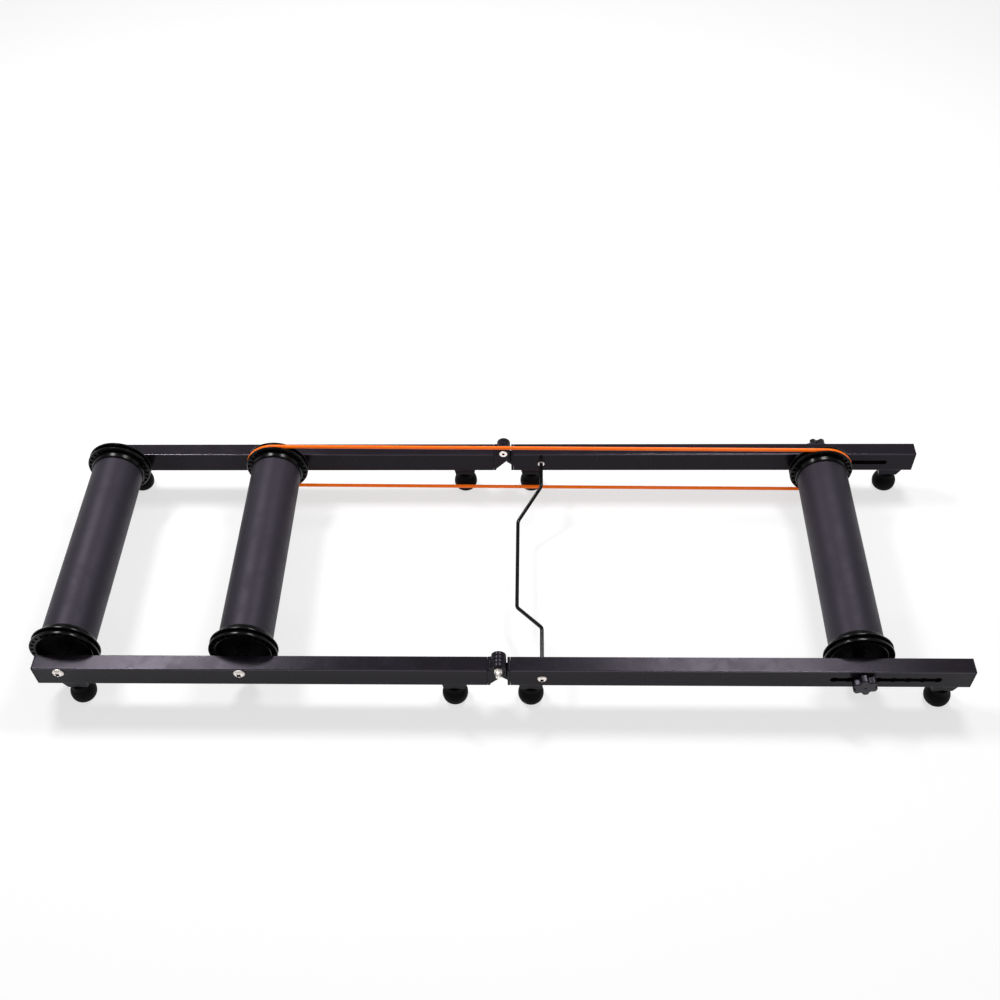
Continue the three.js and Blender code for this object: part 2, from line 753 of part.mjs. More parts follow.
function clampKnob(x, z, side) {
  const firstTurn = 4 * quarterTurn * (side === near ? nearKnobTurnShare : farKnobTurnShare);
  const rail = side * (frameHalfWidth + seatGap);
  const back = side * (frameHalfWidth + knobCollar);
  const front = back + side * knobThickness;
  const outlineShape = starShape(knobRadius - knobBevel, knobLobeDepth, firstTurn);
  const star = new THREE.ExtrudeGeometry(outlineShape, {
    depth: knobThickness - 2 * knobBevel,
    bevelThickness: knobBevel,
    bevelSize: knobBevel,
    bevelSegments: 1,
  });
  star.translate(0, 0, knobBevel - knobThickness * half);
  star.rotateX(quarterTurn).translate(x, (back + front) * half, z);
  const collar = barAcross(knobCollarRadius, x, z, rail, back + side * knobBevel);
  const bore = holeAcross(slotHalfHeight, x, z, rail - side * cutOverrun, back + side * knobBoreDepth);
  const faceHole = barAcross(
    knobFaceHoleRadius, x, z, front - side * knobFaceHoleDepth, front + side * cutOverrun, hexSides,
  );
  return cut(joined(solidOf(star), collar), bore, faceHole);
}

for (const [sideName, side] of Object.entries(sides)) {
  addPiece(`clamp_knob_${sideName}`, clampKnob(frontAxleX, frontAxleZ, side), knobPlastic);
}

// Stand rod

// A route of straight runs joined by arcs, sampled only where it bends.
class BentRoute extends THREE.Curve {
  constructor(stations) {
    super();
    this.stations = stations;
  }

  getPoint(t, target = new THREE.Vector3()) {
    const place = t * (this.stations.length - 1);
    const n = Math.min(Math.floor(place), this.stations.length - 2);
    return target.copy(this.stations[n].point).lerp(this.stations[n + 1].point, place - n);
  }

  getPointAt(u, target) {
    return this.getPoint(u, target);
  }

  getTangentAt(u, target = new THREE.Vector3()) {
    const n = Math.round(u * (this.stations.length - 1));
    return target.copy(this.stations[n].heading);
  }
}

// Stations along a line with rounded corners.
function roundedStations(corners, radius, stepsPerBend) {
  const stations = [];
  const heading = (a, b) => b.clone().sub(a).normalize();
  corners.forEach((corner, n) => {
    if (n === 0) stations.push({ point: corner, heading: heading(corner, corners[1]) });
    else if (n === corners.length - 1) {
      stations.push({ point: corner, heading: heading(corners[n - 1], corner) });
    } else {
      const [before, after] = [heading(corners[n - 1], corner), heading(corner, corners[n + 1])];
      const angle = before.angleTo(after);
      const setback = radius * Math.tan(angle * half);
      const start = corner.clone().addScaledVector(before, -setback);
      const inward = after.clone().addScaledVector(before, -before.dot(after)).normalize();
      for (let step = 0; step <= stepsPerBend; step += 1) {
        const turn = angle * step / stepsPerBend;
        stations.push({
          point: start.clone()
            .addScaledVector(before, radius * Math.sin(turn))
            .addScaledVector(inward, radius * (1 - Math.cos(turn))),
          heading: before.clone().multiplyScalar(Math.cos(turn)).addScaledVector(inward, Math.sin(turn)),
        });
      }
    }
  });
  return stations;
}

function circleShape(radius, count) {
  const points = [];
  for (let n = 0; n < count; n += 1) {
    const turn = (n + half) * 4 * quarterTurn / count;
    points.push([radius * Math.cos(turn), radius * Math.sin(turn)]);
  }
  return outline(...points);
}

function standRod() {
  const railEnd = frameHalfWidth - seatGap;
  const nearBend = rodNearStub - railInner;
  const farBend = railInner - rodFarStub;
  const offsetX = rodPivotFromHinge - rodOffsetBack;
  const offsetZ = railMiddle - rodOffsetDown;
  const corners = [
    new THREE.Vector3(rodPivotFromHinge, -railEnd, railMiddle),
    new THREE.Vector3(rodPivotFromHinge, nearBend, railMiddle),
    new THREE.Vector3(offsetX, nearBend + rodSlant, offsetZ),
    new THREE.Vector3(offsetX, farBend - rodSlant, offsetZ),
    new THREE.Vector3(rodPivotFromHinge, farBend, railMiddle),
    new THREE.Vector3(rodPivotFromHinge, railEnd, railMiddle),
  ];
  const route = new BentRoute(roundedStations(corners, rodBendRadius, bendSteps));
  return solidOf(new THREE.ExtrudeGeometry(circleShape(rodRadius, cordSides), {
    steps: route.stations.length - 1,
    extrudePath: route,
  }));
}

// A button-headed screw in each end of the rod holds it in the rails.
function rodScrew(side) {
  const seat = side * (frameHalfWidth + seatGap);
  const top = seat + side * rodHeadHeight;
  const head = roundedHead(
    buttonShares, rodHeadRadius, rodHeadHeight, rodPivotFromHinge, railMiddle, seat, side,
  );
  const socket = barAcross(
    rodSocketRadius, rodPivotFromHinge, railMiddle,
    top - side * rodSocketDepth, top + side * cutOverrun, hexSides,
  );
  return cut(head, socket);
}

function rodNut() {
  const rail = railInner - seatGap;
  const face = rail - rodNutHeight;
  const ring = barAcross(rodNutRadius, rodPivotFromHinge, railMiddle, rail, face);
  const bore = holeAcross(
    rodRadius + seatGap, rodPivotFromHinge, railMiddle, rail + cutOverrun, face - cutOverrun,
  );
  return cut(ring, bore);
}

addPiece('stand_rod', standRod(), rodPaint);
addPiece('stand_rod_screw_near', rodScrew(near), zinc);
addPiece('stand_rod_screw_far', rodScrew(far), zinc);
addPiece('stand_rod_nut_far', rodNut(), zinc);

// Drive belt

// The loop's stations: half round the middle pulley, along to the front one, and back.
function beltStations() {
  const rear = new THREE.Vector2(middleAxleX, rearAxleZ);
  const front = new THREE.Vector2(frontAxleX, frontAxleZ);
  const slope = Math.atan2(front.y - rear.y, front.x - rear.x);
  const stations = [];
  const wrap = (centre, from) => {
    for (let step = 0; step <= beltStepsPerTurn; step += 1) {
      const turn = from - Math.PI * step / beltStepsPerTurn;
      const [c, s] = [Math.cos(turn), Math.sin(turn)];
      stations.push({
        point: new THREE.Vector3(centre.x + beltPitchRadius * c, beltY, centre.y + beltPitchRadius * s),
        heading: new THREE.Vector3(s, 0, -c),
      });
    }
  };
  wrap(front, slope + quarterTurn);
  wrap(rear, slope - quarterTurn);
  stations.push(stations[0]);
  return stations;
}

function driveBelt() {
  const route = new BentRoute(beltStations());
  const tube = new THREE.TubeGeometry(route, route.stations.length - 1, beltRadius, cordSides, true);
  return solidOf(tube);
}

addPiece('drive_belt', driveBelt(), orangeCord);

export default rollers;
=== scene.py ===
"""Folding bike rollers, finished over their CAD frame: rails, hinge, drums, end caps, knobs, rod and belt."""
import json
from math import acos, asin, atan2, cos, pi, radians, sin, tan

import bmesh
import bpy
from mathutils import Matrix, Vector

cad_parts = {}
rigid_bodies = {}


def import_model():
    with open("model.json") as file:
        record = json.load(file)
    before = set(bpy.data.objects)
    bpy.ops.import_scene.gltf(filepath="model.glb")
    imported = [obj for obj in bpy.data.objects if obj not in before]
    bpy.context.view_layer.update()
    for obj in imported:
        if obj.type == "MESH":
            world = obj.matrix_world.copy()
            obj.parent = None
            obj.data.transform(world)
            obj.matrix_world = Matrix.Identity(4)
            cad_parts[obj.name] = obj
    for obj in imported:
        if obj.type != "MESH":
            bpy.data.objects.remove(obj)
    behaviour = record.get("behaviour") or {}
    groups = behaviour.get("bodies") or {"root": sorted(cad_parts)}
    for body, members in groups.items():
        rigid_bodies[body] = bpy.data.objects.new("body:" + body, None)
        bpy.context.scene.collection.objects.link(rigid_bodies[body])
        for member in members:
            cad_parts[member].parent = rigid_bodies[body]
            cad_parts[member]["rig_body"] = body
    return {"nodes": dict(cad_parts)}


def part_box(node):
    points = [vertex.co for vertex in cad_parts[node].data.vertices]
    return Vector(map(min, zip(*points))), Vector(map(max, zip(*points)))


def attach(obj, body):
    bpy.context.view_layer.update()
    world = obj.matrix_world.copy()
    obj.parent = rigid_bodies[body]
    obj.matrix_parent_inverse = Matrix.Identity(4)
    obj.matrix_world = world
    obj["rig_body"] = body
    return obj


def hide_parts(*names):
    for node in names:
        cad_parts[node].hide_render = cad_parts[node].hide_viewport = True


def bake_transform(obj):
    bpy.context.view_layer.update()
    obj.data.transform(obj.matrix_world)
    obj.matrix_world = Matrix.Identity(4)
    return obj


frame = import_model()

bl_info = {
    "name": "Bike Rollers",
    "version": (1, 0, 0),
    "blender": (4, 5, 0),
    "location": "3D View > Sidebar > Rollers",
    "description": "Models the finished pieces and finishes of folding bike rollers over their CAD frame",
    "category": "Object",
}

MM = 0.001
MERGE = 0.000001
SIDES = {"far": 1, "near": -1}
ROLLERS = ("rear", "middle", "front")

# Steps round a turned piece
DRUM_STEPS = 128
CAP_WINDOWS = 28
CAP_STEPS = 4 * CAP_WINDOWS
SMALL_STEPS = 48
BEAD_STEPS = 10
FLAT_FACE_WEIGHT = 80
CORNER_STEPS = 5

# Nuts and bolt heads: the flat share of an end's half width, the slope of its turned corners and the bore's chamfer
NUT_FACE = 0.95
NUT_CHAMFER = radians(30)
BORE_LIP = 0.4 * MM
WELD_RIPPLE = 1.5 * MM

# Sections, in millimetres. Turned ones give radius, distance along the axis and corner radius.
CAP_SECTION = [
    (15.3, 19.3, 0.4), (15.3, 10, 0), (9, 10, 0.3), (9, 8, 0.4), (19, 8, 0.4), (20, 8.6, 0.4),
    (38.8, 8.6, 1.2), (41, 0.8, 1), (42.6, 0, 0.6), (44.4, 0, 0), (48.8, 0, 0), (51.2, 0, 0.8), (51.2, 3.5, 0.8),
    (45.3, 3.6, 2.4), (45.3, 9.6, 2.4), (51.2, 9.7, 0.8), (51.2, 12, 0.7), (49.5, 14, 0.4), (48.8, 14, 0),
    (44.4, 14, 0), (44, 14, 0.25), (42.9, 21.5, 0.6), (42.2, 23.6, 0.5), (40.8, 23.6, 0.3), (40.8, 11, 0),
    (38.2, 11, 0),
]
CAP_WINDOW_BAND = (44.4, 48.8)
CAP_WINDOW_DEPTH = 2.6
CAP_WIDTH = 14
BEARING_SECTION = [
    (5.3, 0, 0.3), (8.2, 0, 0.4), (8.2, 0.7, 0), (12.3, 0.7, 0), (12.3, 0, 0.4), (15, 0, 0.6),
    (15, 9, 0.6), (12.3, 9, 0.4), (12.3, 8.3, 0), (8.2, 8.3, 0), (8.2, 9, 0.4), (5.3, 9, 0.3),
]
BUTTON_SECTION = [(0, 3.4, 0), (3.6, 3.4, 1.2), (6.1, 2.1, 1.6), (6.9, 0.5, 0.4), (6.9, 0, 0), (0, 0, 0)]
SLEEVE_NUT_SECTION = [
    (0, 4.3, 0), (4.7, 4.3, 0.9), (7, 2.4, 1.6), (7.3, 1.1, 0.2), (8.4, 1.1, 0.4), (8.4, 0, 0.2), (5, 0, 0),
    (5, -13.3, 0.5), (3.3, -13.3, 0.3), (3.3, -3.3, 0), (0, -3.3, 0),
]
# Domed nuts: hexagon height, and the dome's section from its tip down into the hexagon
DOMED_NUTS = {
    "near": (6, [(0, 14, 0), (2.5, 14, 0.7), (3.7, 12.6, 1.8), (4.5, 9, 2.5), (4.9, 5.8, 0), (4.9, 5, 0), (0, 5, 0)]),
    "far": (5.3, [(0, 7.2, 0), (2.5, 7.2, 0.5), (3.8, 6.3, 1.2), (4.5, 5, 0), (4.5, 4.5, 0), (0, 4.5, 0)]),
}


def length(name, default, description):
    return bpy.props.FloatProperty(name=name, description=description, default=default, min=0.0,
                                   precision=5, unit="LENGTH", subtype="DISTANCE")


def colour(name, default, description):
    return bpy.props.FloatVectorProperty(name=name, description=description, default=default, size=3,
                                         min=0.0, max=1.0, subtype="COLOR")


class RollerSizes(bpy.types.PropertyGroup):
    """Sizes of the finished pieces, in metres."""

    rail_corner: length("Rail corner", 0.0015, "Outer corner radius of the rail tube")
    rail_wall: length("Rail wall", 0.0015, "Wall thickness of the rail tube")
    bracket_sheet: length("Bracket sheet", 0.0025, "Sheet thickness of the foot brackets")
    weld_bead: length("Weld bead", 0.0013, "Radius of the weld beads")
    foot_radius: length("Foot radius", 0.0193, "Largest radius of the rubber feet")
    drum_wall: length("Drum wall", 0.002, "Wall thickness of the drum tubes")
    axle_radius: length("Axle radius", 0.005, "Radius of the axles")
    thread_pitch: length("Thread pitch", 0.001, "Distance between two threads on the axle ends")
    lock_nut: length("Lock nut", 0.017, "Width of the lock nuts across their flats")
    knob_radius: length("Knob radius", 0.0183, "Radius over the lobes of the clamp knobs")
    knob_hollow: length("Knob hollow", 0.005, "Depth of the hollows between the lobes")
    rod_radius: length("Rod radius", 0.003, "Radius of the bent stand rod")
    belt_radius: length("Belt radius", 0.00285, "Radius of the round drive belt")


class RollerColours(bpy.types.PropertyGroup):
    """Base colours of the finishes, as linear values."""

    rail: colour("Rail coat", (0.0150, 0.0122, 0.0170), "Powder coat of the rails, brackets and hinge")
    drum: colour("Drum", (0.0150, 0.0120, 0.0185), "Anodised drum tubes")
    cap: colour("End cap", (0.0024, 0.0022, 0.0027), "Glossy moulded end caps")
    plug: colour("End plug", (0.0080, 0.0074, 0.0085), "Moulded end plugs")
    knob: colour("Knob", (0.0080, 0.0070, 0.0090), "Textured clamp knobs")
    rubber: colour("Rubber", (0.0036, 0.0034, 0.0038), "Rubber of the feet and bearing seals")
    zinc: colour("Zinc", (0.94, 0.87, 0.84), "Zinc plating of nuts, bolts and bearings")
    steel: colour("Black steel", (0.045, 0.043, 0.047), "Blackened steel of the spacers and lock nuts")
    # Painted shade: near black standing in for the shade inside the rail tubes, the sockets and the end caps'
    # recesses
    inside: colour("Inside", (0.0016, 0.0015, 0.0017), "Inside of the rail tubes and of the sockets")
    enamel: colour("Enamel", (0.0034, 0.0032, 0.0037), "Gloss enamel of the stand rod")
    belt: colour("Belt", (1.0, 0.17, 0.004), "Elastic drive belt")
    floor: colour("Floor", (0.40, 0.40, 0.40), "Pale studio floor")


# Modelling helpers


def let_go():
    """Leaves edit mode and deselects everything."""
    if bpy.context.mode != "OBJECT":
        bpy.ops.object.mode_set(mode="OBJECT")
    bpy.ops.object.select_all(action="DESELECT")


def hold(*pieces):
    """Selects these pieces alone and makes the last one active."""
    let_go()
    for piece in pieces:
        piece.select_set(True)
    bpy.context.view_layer.objects.active = pieces[-1]


def edit(piece, kind="VERT"):
    hold(piece)
    bpy.ops.object.mode_set(mode="EDIT")
    bpy.ops.mesh.select_mode(type=kind)
    bpy.ops.mesh.select_all(action="SELECT")


def pick(kind, test):
    """In edit mode, selects only the corners, edges or faces that pass the test. A corner is given by its
    place, an edge by its middle and direction, and a face by its middle and normal."""
    bpy.ops.mesh.select_mode(type=kind)
    bpy.ops.mesh.select_all(action="DESELECT")
    data = bpy.context.object.data
    mesh = bmesh.from_edit_mesh(data)
    if kind == "VERT":
        chosen = [v for v in mesh.verts if test(v.co)]
    elif kind == "EDGE":
        chosen = [e for e in mesh.edges
                  if test((e.verts[0].co + e.verts[1].co) / 2, (e.verts[1].co - e.verts[0].co).normalized())]
    else:
        chosen = [f for f in mesh.faces if test(f.calc_center_median(), f.normal)]
    for part in chosen:
        part.select_set(True)
    mesh.select_flush_mode()
    bmesh.update_edit_mesh(data)
    if not chosen:
        raise RuntimeError(f"nothing to pick on {bpy.context.object.name}")


def placed():
    """Moves the active object's place, turn and size into its mesh."""
    bpy.ops.object.transform_apply(location=True, rotation=True, scale=True)


def outward(piece):
    """Merges doubled corners and turns all faces outwards."""
    edit(piece)
    bpy.ops.mesh.remove_doubles(threshold=MERGE)
    bpy.ops.mesh.normals_make_consistent(inside=False)
    bpy.ops.object.mode_set(mode="OBJECT")
    return piece


def apply(piece, kind, **settings):
    """Adds a modifier and applies it."""
    hold(piece)
    modifier = piece.modifiers.new(kind.lower(), kind)
    for name, value in settings.items():
        setattr(modifier, name, value)
    bpy.ops.object.modifier_apply(modifier=modifier.name)
    return piece


def bevel(piece, width, segments=2, angle=40):
    """Rounds the edges that are sharper than an angle in degrees."""
    return apply(piece, "BEVEL", width=width, segments=segments, limit_method="ANGLE", angle_limit=radians(angle),
                 use_clamp_overlap=True)


def combine(piece, *tools, how="DIFFERENCE"):
    """Cuts tools from a piece, adds them to it or keeps what they share with it."""
    for tool in tools:
        apply(piece, "BOOLEAN", operation=how, solver="EXACT", object=tool)
        bpy.data.objects.remove(tool)
    return outward(piece)


def gathered(first, *others):
    """Joins separate shells into one piece."""
    hold(*others, first)
    bpy.ops.object.join()
    return first


def copied(piece, move=(0, 0, 0), mirror=False):
    """A copy with its own mesh, moved, or mirrored to the near side."""
    hold(piece)
    bpy.ops.object.duplicate(linked=False)
    twin = bpy.context.object
    twin.location = move
    if mirror:
        twin.scale.y = -1
    placed()
    return outward(twin) if mirror else twin


def on_side(piece, sign):
    """The piece itself on the far side, and its mirror image, in its stead, on the near side."""
    if sign > 0:
        return piece
    twin = copied(piece, mirror=True)
    bpy.data.objects.remove(piece)
    return twin


def line_through(points, closed=True):
    """A new mesh, left in edit mode: one corner, extruded from point to point."""
    let_go()
    bpy.ops.mesh.primitive_plane_add(size=MM, location=points[0])
    placed()
    piece = bpy.context.object
    edit(piece)
    bpy.ops.mesh.merge(type="CENTER")
    for before, after in zip(points, points[1:]):
        bpy.ops.mesh.extrude_region_move(TRANSFORM_OT_translate={"value": Vector(after) - Vector(before)})
    if closed:
        ends = (Vector(points[0]), Vector(points[-1]))
        pick("VERT", lambda co: min((co - end).length for end in ends) < MERGE)
        bpy.ops.mesh.edge_face_add()
    bpy.ops.mesh.select_all(action="SELECT")
    return piece


def rounded(corners, closed=True, steps=CORNER_STEPS):
    """Points of a flat line through corners (u, v, radius), with an arc at each corner that has a radius."""
    line = []
    for n, (u, v, radius) in enumerate(corners):
        here = Vector((u, v))
        if not radius or (not closed and n in (0, len(corners) - 1)):
            line.append(here)
            continue
        before = (Vector(corners[n - 1][:2]) - here).normalized()
        after = (Vector(corners[(n + 1) % len(corners)][:2]) - here).normalized()
        half = before.angle(after) / 2
        start, end = here + before * radius / tan(half), here + after * radius / tan(half)
        centre = here + (before + after).normalized() * radius / sin(half)
        first, last = (atan2(p.y - centre.y, p.x - centre.x) for p in (start, end))
        sweep = (last - first + pi) % (2 * pi) - pi
        for k in range(steps + 1):
            turn = first + sweep * k / steps
            line.append(centre + Vector((cos(turn), sin(turn))) * radius)
    return line


def in_millimetres(section):
    """A section written in millimetres, in metres."""
    return [tuple(value * MM for value in corner) for corner in section]


AXES = {"X": Vector((1, 0, 0)), "Y": Vector((0, 1, 0)), "Z": Vector((0, 0, 1))}
LATHE = {"X": ("Z", "X"), "Y": ("X", "Y"), "Z": ("X", "Z")}
SHEET = {"X": ("Y", "Z"), "Y": ("X", "Z"), "Z": ("X", "Y")}


def turned(section, centre=(0, 0, 0), axis="Y", steps=SMALL_STEPS, closed=True):
    """A piece turned on a lathe: (radius, distance along the axis) points spun about the axis through centre."""
    out, along = (AXES[name] for name in LATHE[axis])
    piece = line_through([Vector(centre) + out * r + along * d for r, d in section], closed)
    bpy.ops.mesh.spin(steps=steps, angle=2 * pi, center=centre, axis=AXES[axis])
    return outward(piece)


def drill(radius, start, end, centre):
    """A plain round bar along Y, which cuts a hole."""
    return turned([(0, start), (radius, start), (radius, end), (0, end)], centre, closed=False)


def sheet(outline, start, end, axis="Y"):
    """A flat outline, filled and pushed along an axis from start to end."""
    u, v = (AXES[name] for name in SHEET[axis])
    piece = line_through([u * p[0] + v * p[1] + AXES[axis] * start for p in outline])
    bpy.ops.mesh.edge_face_add()
    bpy.ops.mesh.extrude_region_move(TRANSFORM_OT_translate={"value": AXES[axis] * (end - start)})
    return outward(piece)


def rod_along(points, radius, closed=False):
    """A round rod or cord that follows points."""
    piece = line_through(points, closed)
    bpy.ops.object.mode_set(mode="OBJECT")
    bpy.ops.object.convert(target="CURVE")
    piece = bpy.context.object
    piece.data.bevel_depth = radius
    piece.data.bevel_resolution = 6
    piece.data.use_fill_caps = not closed
    bpy.ops.object.convert(target="MESH")
    return outward(bpy.context.object)


def rectangle(u0, v0, u1, v1, corner, steps=CORNER_STEPS):
    return rounded([(u0, v0, corner), (u1, v0, corner), (u1, v1, corner), (u0, v1, corner)], steps=steps)


def hexagonal(across_flats, start, end, bore=0.0, centre=(0, 0, 0), axis="Y"):
    """A nut or bolt head: a hexagonal bar whose corners are turned off at both ends, with a bore if given. The bar is
    longer than the turned blank, because now and then nothing was left of the two with their ends in one plane."""
    flat = across_flats / 2
    out = flat / cos(pi / 6)
    u, v = (AXES[name] for name in SHEET[axis])
    middle = Vector(centre)
    sign = 1 if end > start else -1
    ring = [(middle.dot(u) + out * sin(k * pi / 3), middle.dot(v) + out * cos(k * pi / 3)) for k in range(6)]
    bar = sheet(ring, middle.dot(AXES[axis]) + start - sign * MM, middle.dot(AXES[axis]) + end + sign * MM, axis)
    corner, face = 1.02 * out, NUT_FACE * flat
    slope = (corner - face) * tan(NUT_CHAMFER)
    lip = sign * BORE_LIP
    blank = [(face, start), (corner, start + sign * slope), (corner, end - sign * slope), (face, end)]
    if bore:
        blank += [(bore + abs(lip), end), (bore, end - lip), (bore, start + lip), (bore + abs(lip), start)]
    else:
        blank = [(0, start), *blank, (0, end)]
    return combine(bar, turned(blank, centre, axis, closed=bool(bore)), how="INTERSECT")


def weld(start, end, radius):
    """A weld bead between two points along one axis, with the ripples of the welder's hand."""
    start, end = Vector(start), Vector(end)
    axis = max("XYZ", key=lambda name: abs((end - start).dot(AXES[name])))
    reach = (end - start).dot(AXES[axis])
    ripples = max(2, round(abs(reach) / WELD_RIPPLE))
    section = [(0, 0)]
    for k in range(ripples):
        section += [(radius * 0.86, reach * (k + 0.1) / ripples), (radius, reach * (k + 0.5) / ripples),
                    (radius * 0.95, reach * (k + 0.75) / ripples)]
    return turned([*section, (0, reach)], start, axis, BEAD_STEPS, closed=False)


def coated(piece, finishes, choose):
    """Gives a piece several finishes, and each face the one whose number choose returns for it."""
    for finish in finishes:
        piece.data.materials.append(FINISHES[finish])
    for face in piece.data.polygons:
        face.material_index = choose(face)
    return piece


def socket(piece, tool):
    """Cuts a tool's shape into a plated piece, and gives the faces inside the cut the painted shade finish."""
    low, high = (Vector(tool.bound_box[n]) - Vector((MERGE, MERGE, MERGE)) * sign for n, sign in ((0, 1), (6, -1)))
    combine(piece, tool)
    return coated(piece, ("zinc_plating", "painted_shade_inside"),
                  lambda face: int(all(low[n] < face.center[n] < high[n] for n in range(3))))


def middle_of(node):
    """The middle of a CAD node's box."""
    low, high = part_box(node)
    return (low + high) / 2


def off_axis(place):
    """How far a place is from the Y axis."""
    return Vector((place.x, place.z)).length


def finished(piece, node, finish, sharp=35):
    """Names a finished piece after its CAD node, smooths it, gives it its finish and sets it on the node's body."""
    hold(piece)
    bpy.ops.object.shade_smooth_by_angle(angle=radians(sharp))
    apply(piece, "WEIGHTED_NORMAL", mode="FACE_AREA", weight=FLAT_FACE_WEIGHT, keep_sharp=True)
    piece.name = piece.data.name = f"{node}_finished"
    for material in [finish] if isinstance(finish, str) else finish:
        piece.data.materials.append(FINISHES[material])
    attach(piece, frame["nodes"][node]["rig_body"])
    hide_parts(node)
    return piece


def both_sides(piece, node, finish):
    """Finishes a piece for the far side and its mirrored twin for the near side."""
    twin = copied(piece, mirror=True)
    finished(piece, f"{node}_far", finish)
    finished(twin, f"{node}_near", finish)


FINISHES = {}


# Finishes


def add(tree, kind, settings=None, feeds=None):
    """Adds a shader node, sets its options, and links or sets its inputs."""
    made = tree.nodes.new(kind)
    for name, value in (settings or {}).items():
        setattr(made, name, value)
    for name, source in (feeds or {}).items():
        if isinstance(source, bpy.types.NodeSocket):
            tree.links.new(source, made.inputs[name])
        else:
            made.inputs[name].default_value = source
    return made


def shared_effect(name, inputs, outputs):
    """An empty node group with named inputs and outputs, and its two end nodes."""
    tree = bpy.data.node_groups.new(name, "ShaderNodeTree")
    for label, kind, default in inputs:
        socket = tree.interface.new_socket(label, in_out="INPUT", socket_type=kind)
        if default is not None:
            socket.default_value = default
    for label in outputs:
        tree.interface.new_socket(label, in_out="OUTPUT", socket_type="NodeSocketFloat")
    return tree, add(tree, "NodeGroupInput").outputs, add(tree, "NodeGroupOutput").inputs


def fine_grain():
    """Fine moulded or sprayed grain over the whole surface, with slow drifts of shade."""
    tree, given, made = shared_effect(
        "Fine grain",
        [("Vector", "NodeSocketVector", None), ("Scale", "NodeSocketFloat", 900.0)],
        ["Height", "Shade"],
    )
    grain = add(tree, "ShaderNodeTexNoise", {"noise_dimensions": "3D"},
                {"Vector": given["Vector"], "Scale": given["Scale"], "Detail": 2.0, "Roughness": 0.55})
    drift = add(tree, "ShaderNodeTexNoise", None, {"Vector": given["Vector"], "Scale": 9.0, "Detail": 3.0})
    both = add(tree, "ShaderNodeMath", {"operation": "MULTIPLY_ADD"},
               {0: grain.outputs[0], 1: 0.35, 2: drift.outputs[0]})
    spread = add(tree, "ShaderNodeMapRange", None, {0: both.outputs[0], 1: 0.45, 2: 0.95})
    tree.links.new(grain.outputs[0], made["Height"])
    tree.links.new(spread.outputs[0], made["Shade"])
    return tree


def handling_marks():
    """Faint smudges and dust from handling."""
    tree, given, made = shared_effect(
        "Handling marks",
        [("Vector", "NodeSocketVector", None), ("Scale", "NodeSocketFloat", 30.0)],
        ["Mask"],
    )
    smudge = add(tree, "ShaderNodeTexNoise", {"noise_dimensions": "3D"},
                 {"Vector": given["Vector"], "Scale": given["Scale"], "Detail": 5.0, "Roughness": 0.62,
                  "Distortion": 0.6})
    mask = add(tree, "ShaderNodeMapRange", None, {0: smudge.outputs[0], 1: 0.42, 2: 0.68})
    tree.links.new(mask.outputs[0], made["Mask"])
    return tree


def drawn_lines():
    """Fine lines along Y, as extruded and brushed metal has."""
    tree, given, made = shared_effect(
        "Drawn lines",
        [("Vector", "NodeSocketVector", None), ("Scale", "NodeSocketFloat", 700.0)],
        ["Height"],
    )
    flat = add(tree, "ShaderNodeMapping", None, {"Vector": given["Vector"], "Scale": (1.0, 0.012, 1.0)})
    lines = add(tree, "ShaderNodeTexNoise", {"noise_dimensions": "3D"},
                {"Vector": flat.outputs[0], "Scale": given["Scale"], "Detail": 3.0, "Roughness": 0.6})
    tree.links.new(lines.outputs[0], made["Height"])
    return tree


def surface(name, tint, drift, rough, grain, bump, metallic=0.0, specular=0.5, lines=False,
            gloss_tint=(1.0, 1.0, 1.0), glow_through=0.0, painted_glow=0.0):
    """A finish whose shade, gloss and relief vary over the surface. Drift is how far the shade strays."""
    material = bpy.data.materials.new(name)
    material.use_nodes = True
    tree = material.node_tree
    shader = tree.nodes["Principled BSDF"]
    place = add(tree, "ShaderNodeTexCoord").outputs["Object"]
    texture = add(tree, "ShaderNodeGroup", {"node_tree": bpy.data.node_groups["Fine grain"]},
                  {"Vector": place, "Scale": grain})
    marks = add(tree, "ShaderNodeGroup", {"node_tree": bpy.data.node_groups["Handling marks"]}, {"Vector": place})
    dark, light = ([*(value * share for value in tint), 1.0] for share in (1 - drift, 1 + drift))
    shade = add(tree, "ShaderNodeMix", {"data_type": "RGBA"}, {0: texture.outputs["Shade"], 6: dark, 7: light})
    gloss = add(tree, "ShaderNodeMapRange", None, {0: marks.outputs["Mask"], 3: rough[0], 4: rough[1]})
    height = texture.outputs["Height"]
    if lines:
        height = add(tree, "ShaderNodeGroup", {"node_tree": bpy.data.node_groups["Drawn lines"]},
                     {"Vector": place}).outputs["Height"]
    relief = add(tree, "ShaderNodeBump", None, {"Height": height, "Strength": bump, "Distance": 0.0002})
    tree.links.new(shade.outputs[2], shader.inputs["Base Color"])
    tree.links.new(gloss.outputs[0], shader.inputs["Roughness"])
    tree.links.new(relief.outputs[0], shader.inputs["Normal"])
    shader.inputs["Metallic"].default_value = metallic
    shader.inputs["Specular IOR Level"].default_value = specular
    shader.inputs["Specular Tint"].default_value = (*gloss_tint, 1.0)
    shader.inputs["Subsurface Weight"].default_value = glow_through
    shader.inputs["Subsurface Scale"].default_value = 4 * MM
    # Painted glow: an emission in the finish's own colour, which makes a part glow though it is no lamp
    shader.inputs["Emission Color"].default_value = (*tint, 1.0)
    shader.inputs["Emission Strength"].default_value = painted_glow
    FINISHES[name] = material


# Operators


class Step(bpy.types.Operator):
    """One step of making the rollers."""

    bl_options = {"REGISTER", "UNDO"}

    @property
    def sizes(self):
        return bpy.context.scene.roller_sizes

    @property
    def colours(self):
        return bpy.context.scene.roller_colours

    def execute(self, context):
        self.make()
        return {"FINISHED"}


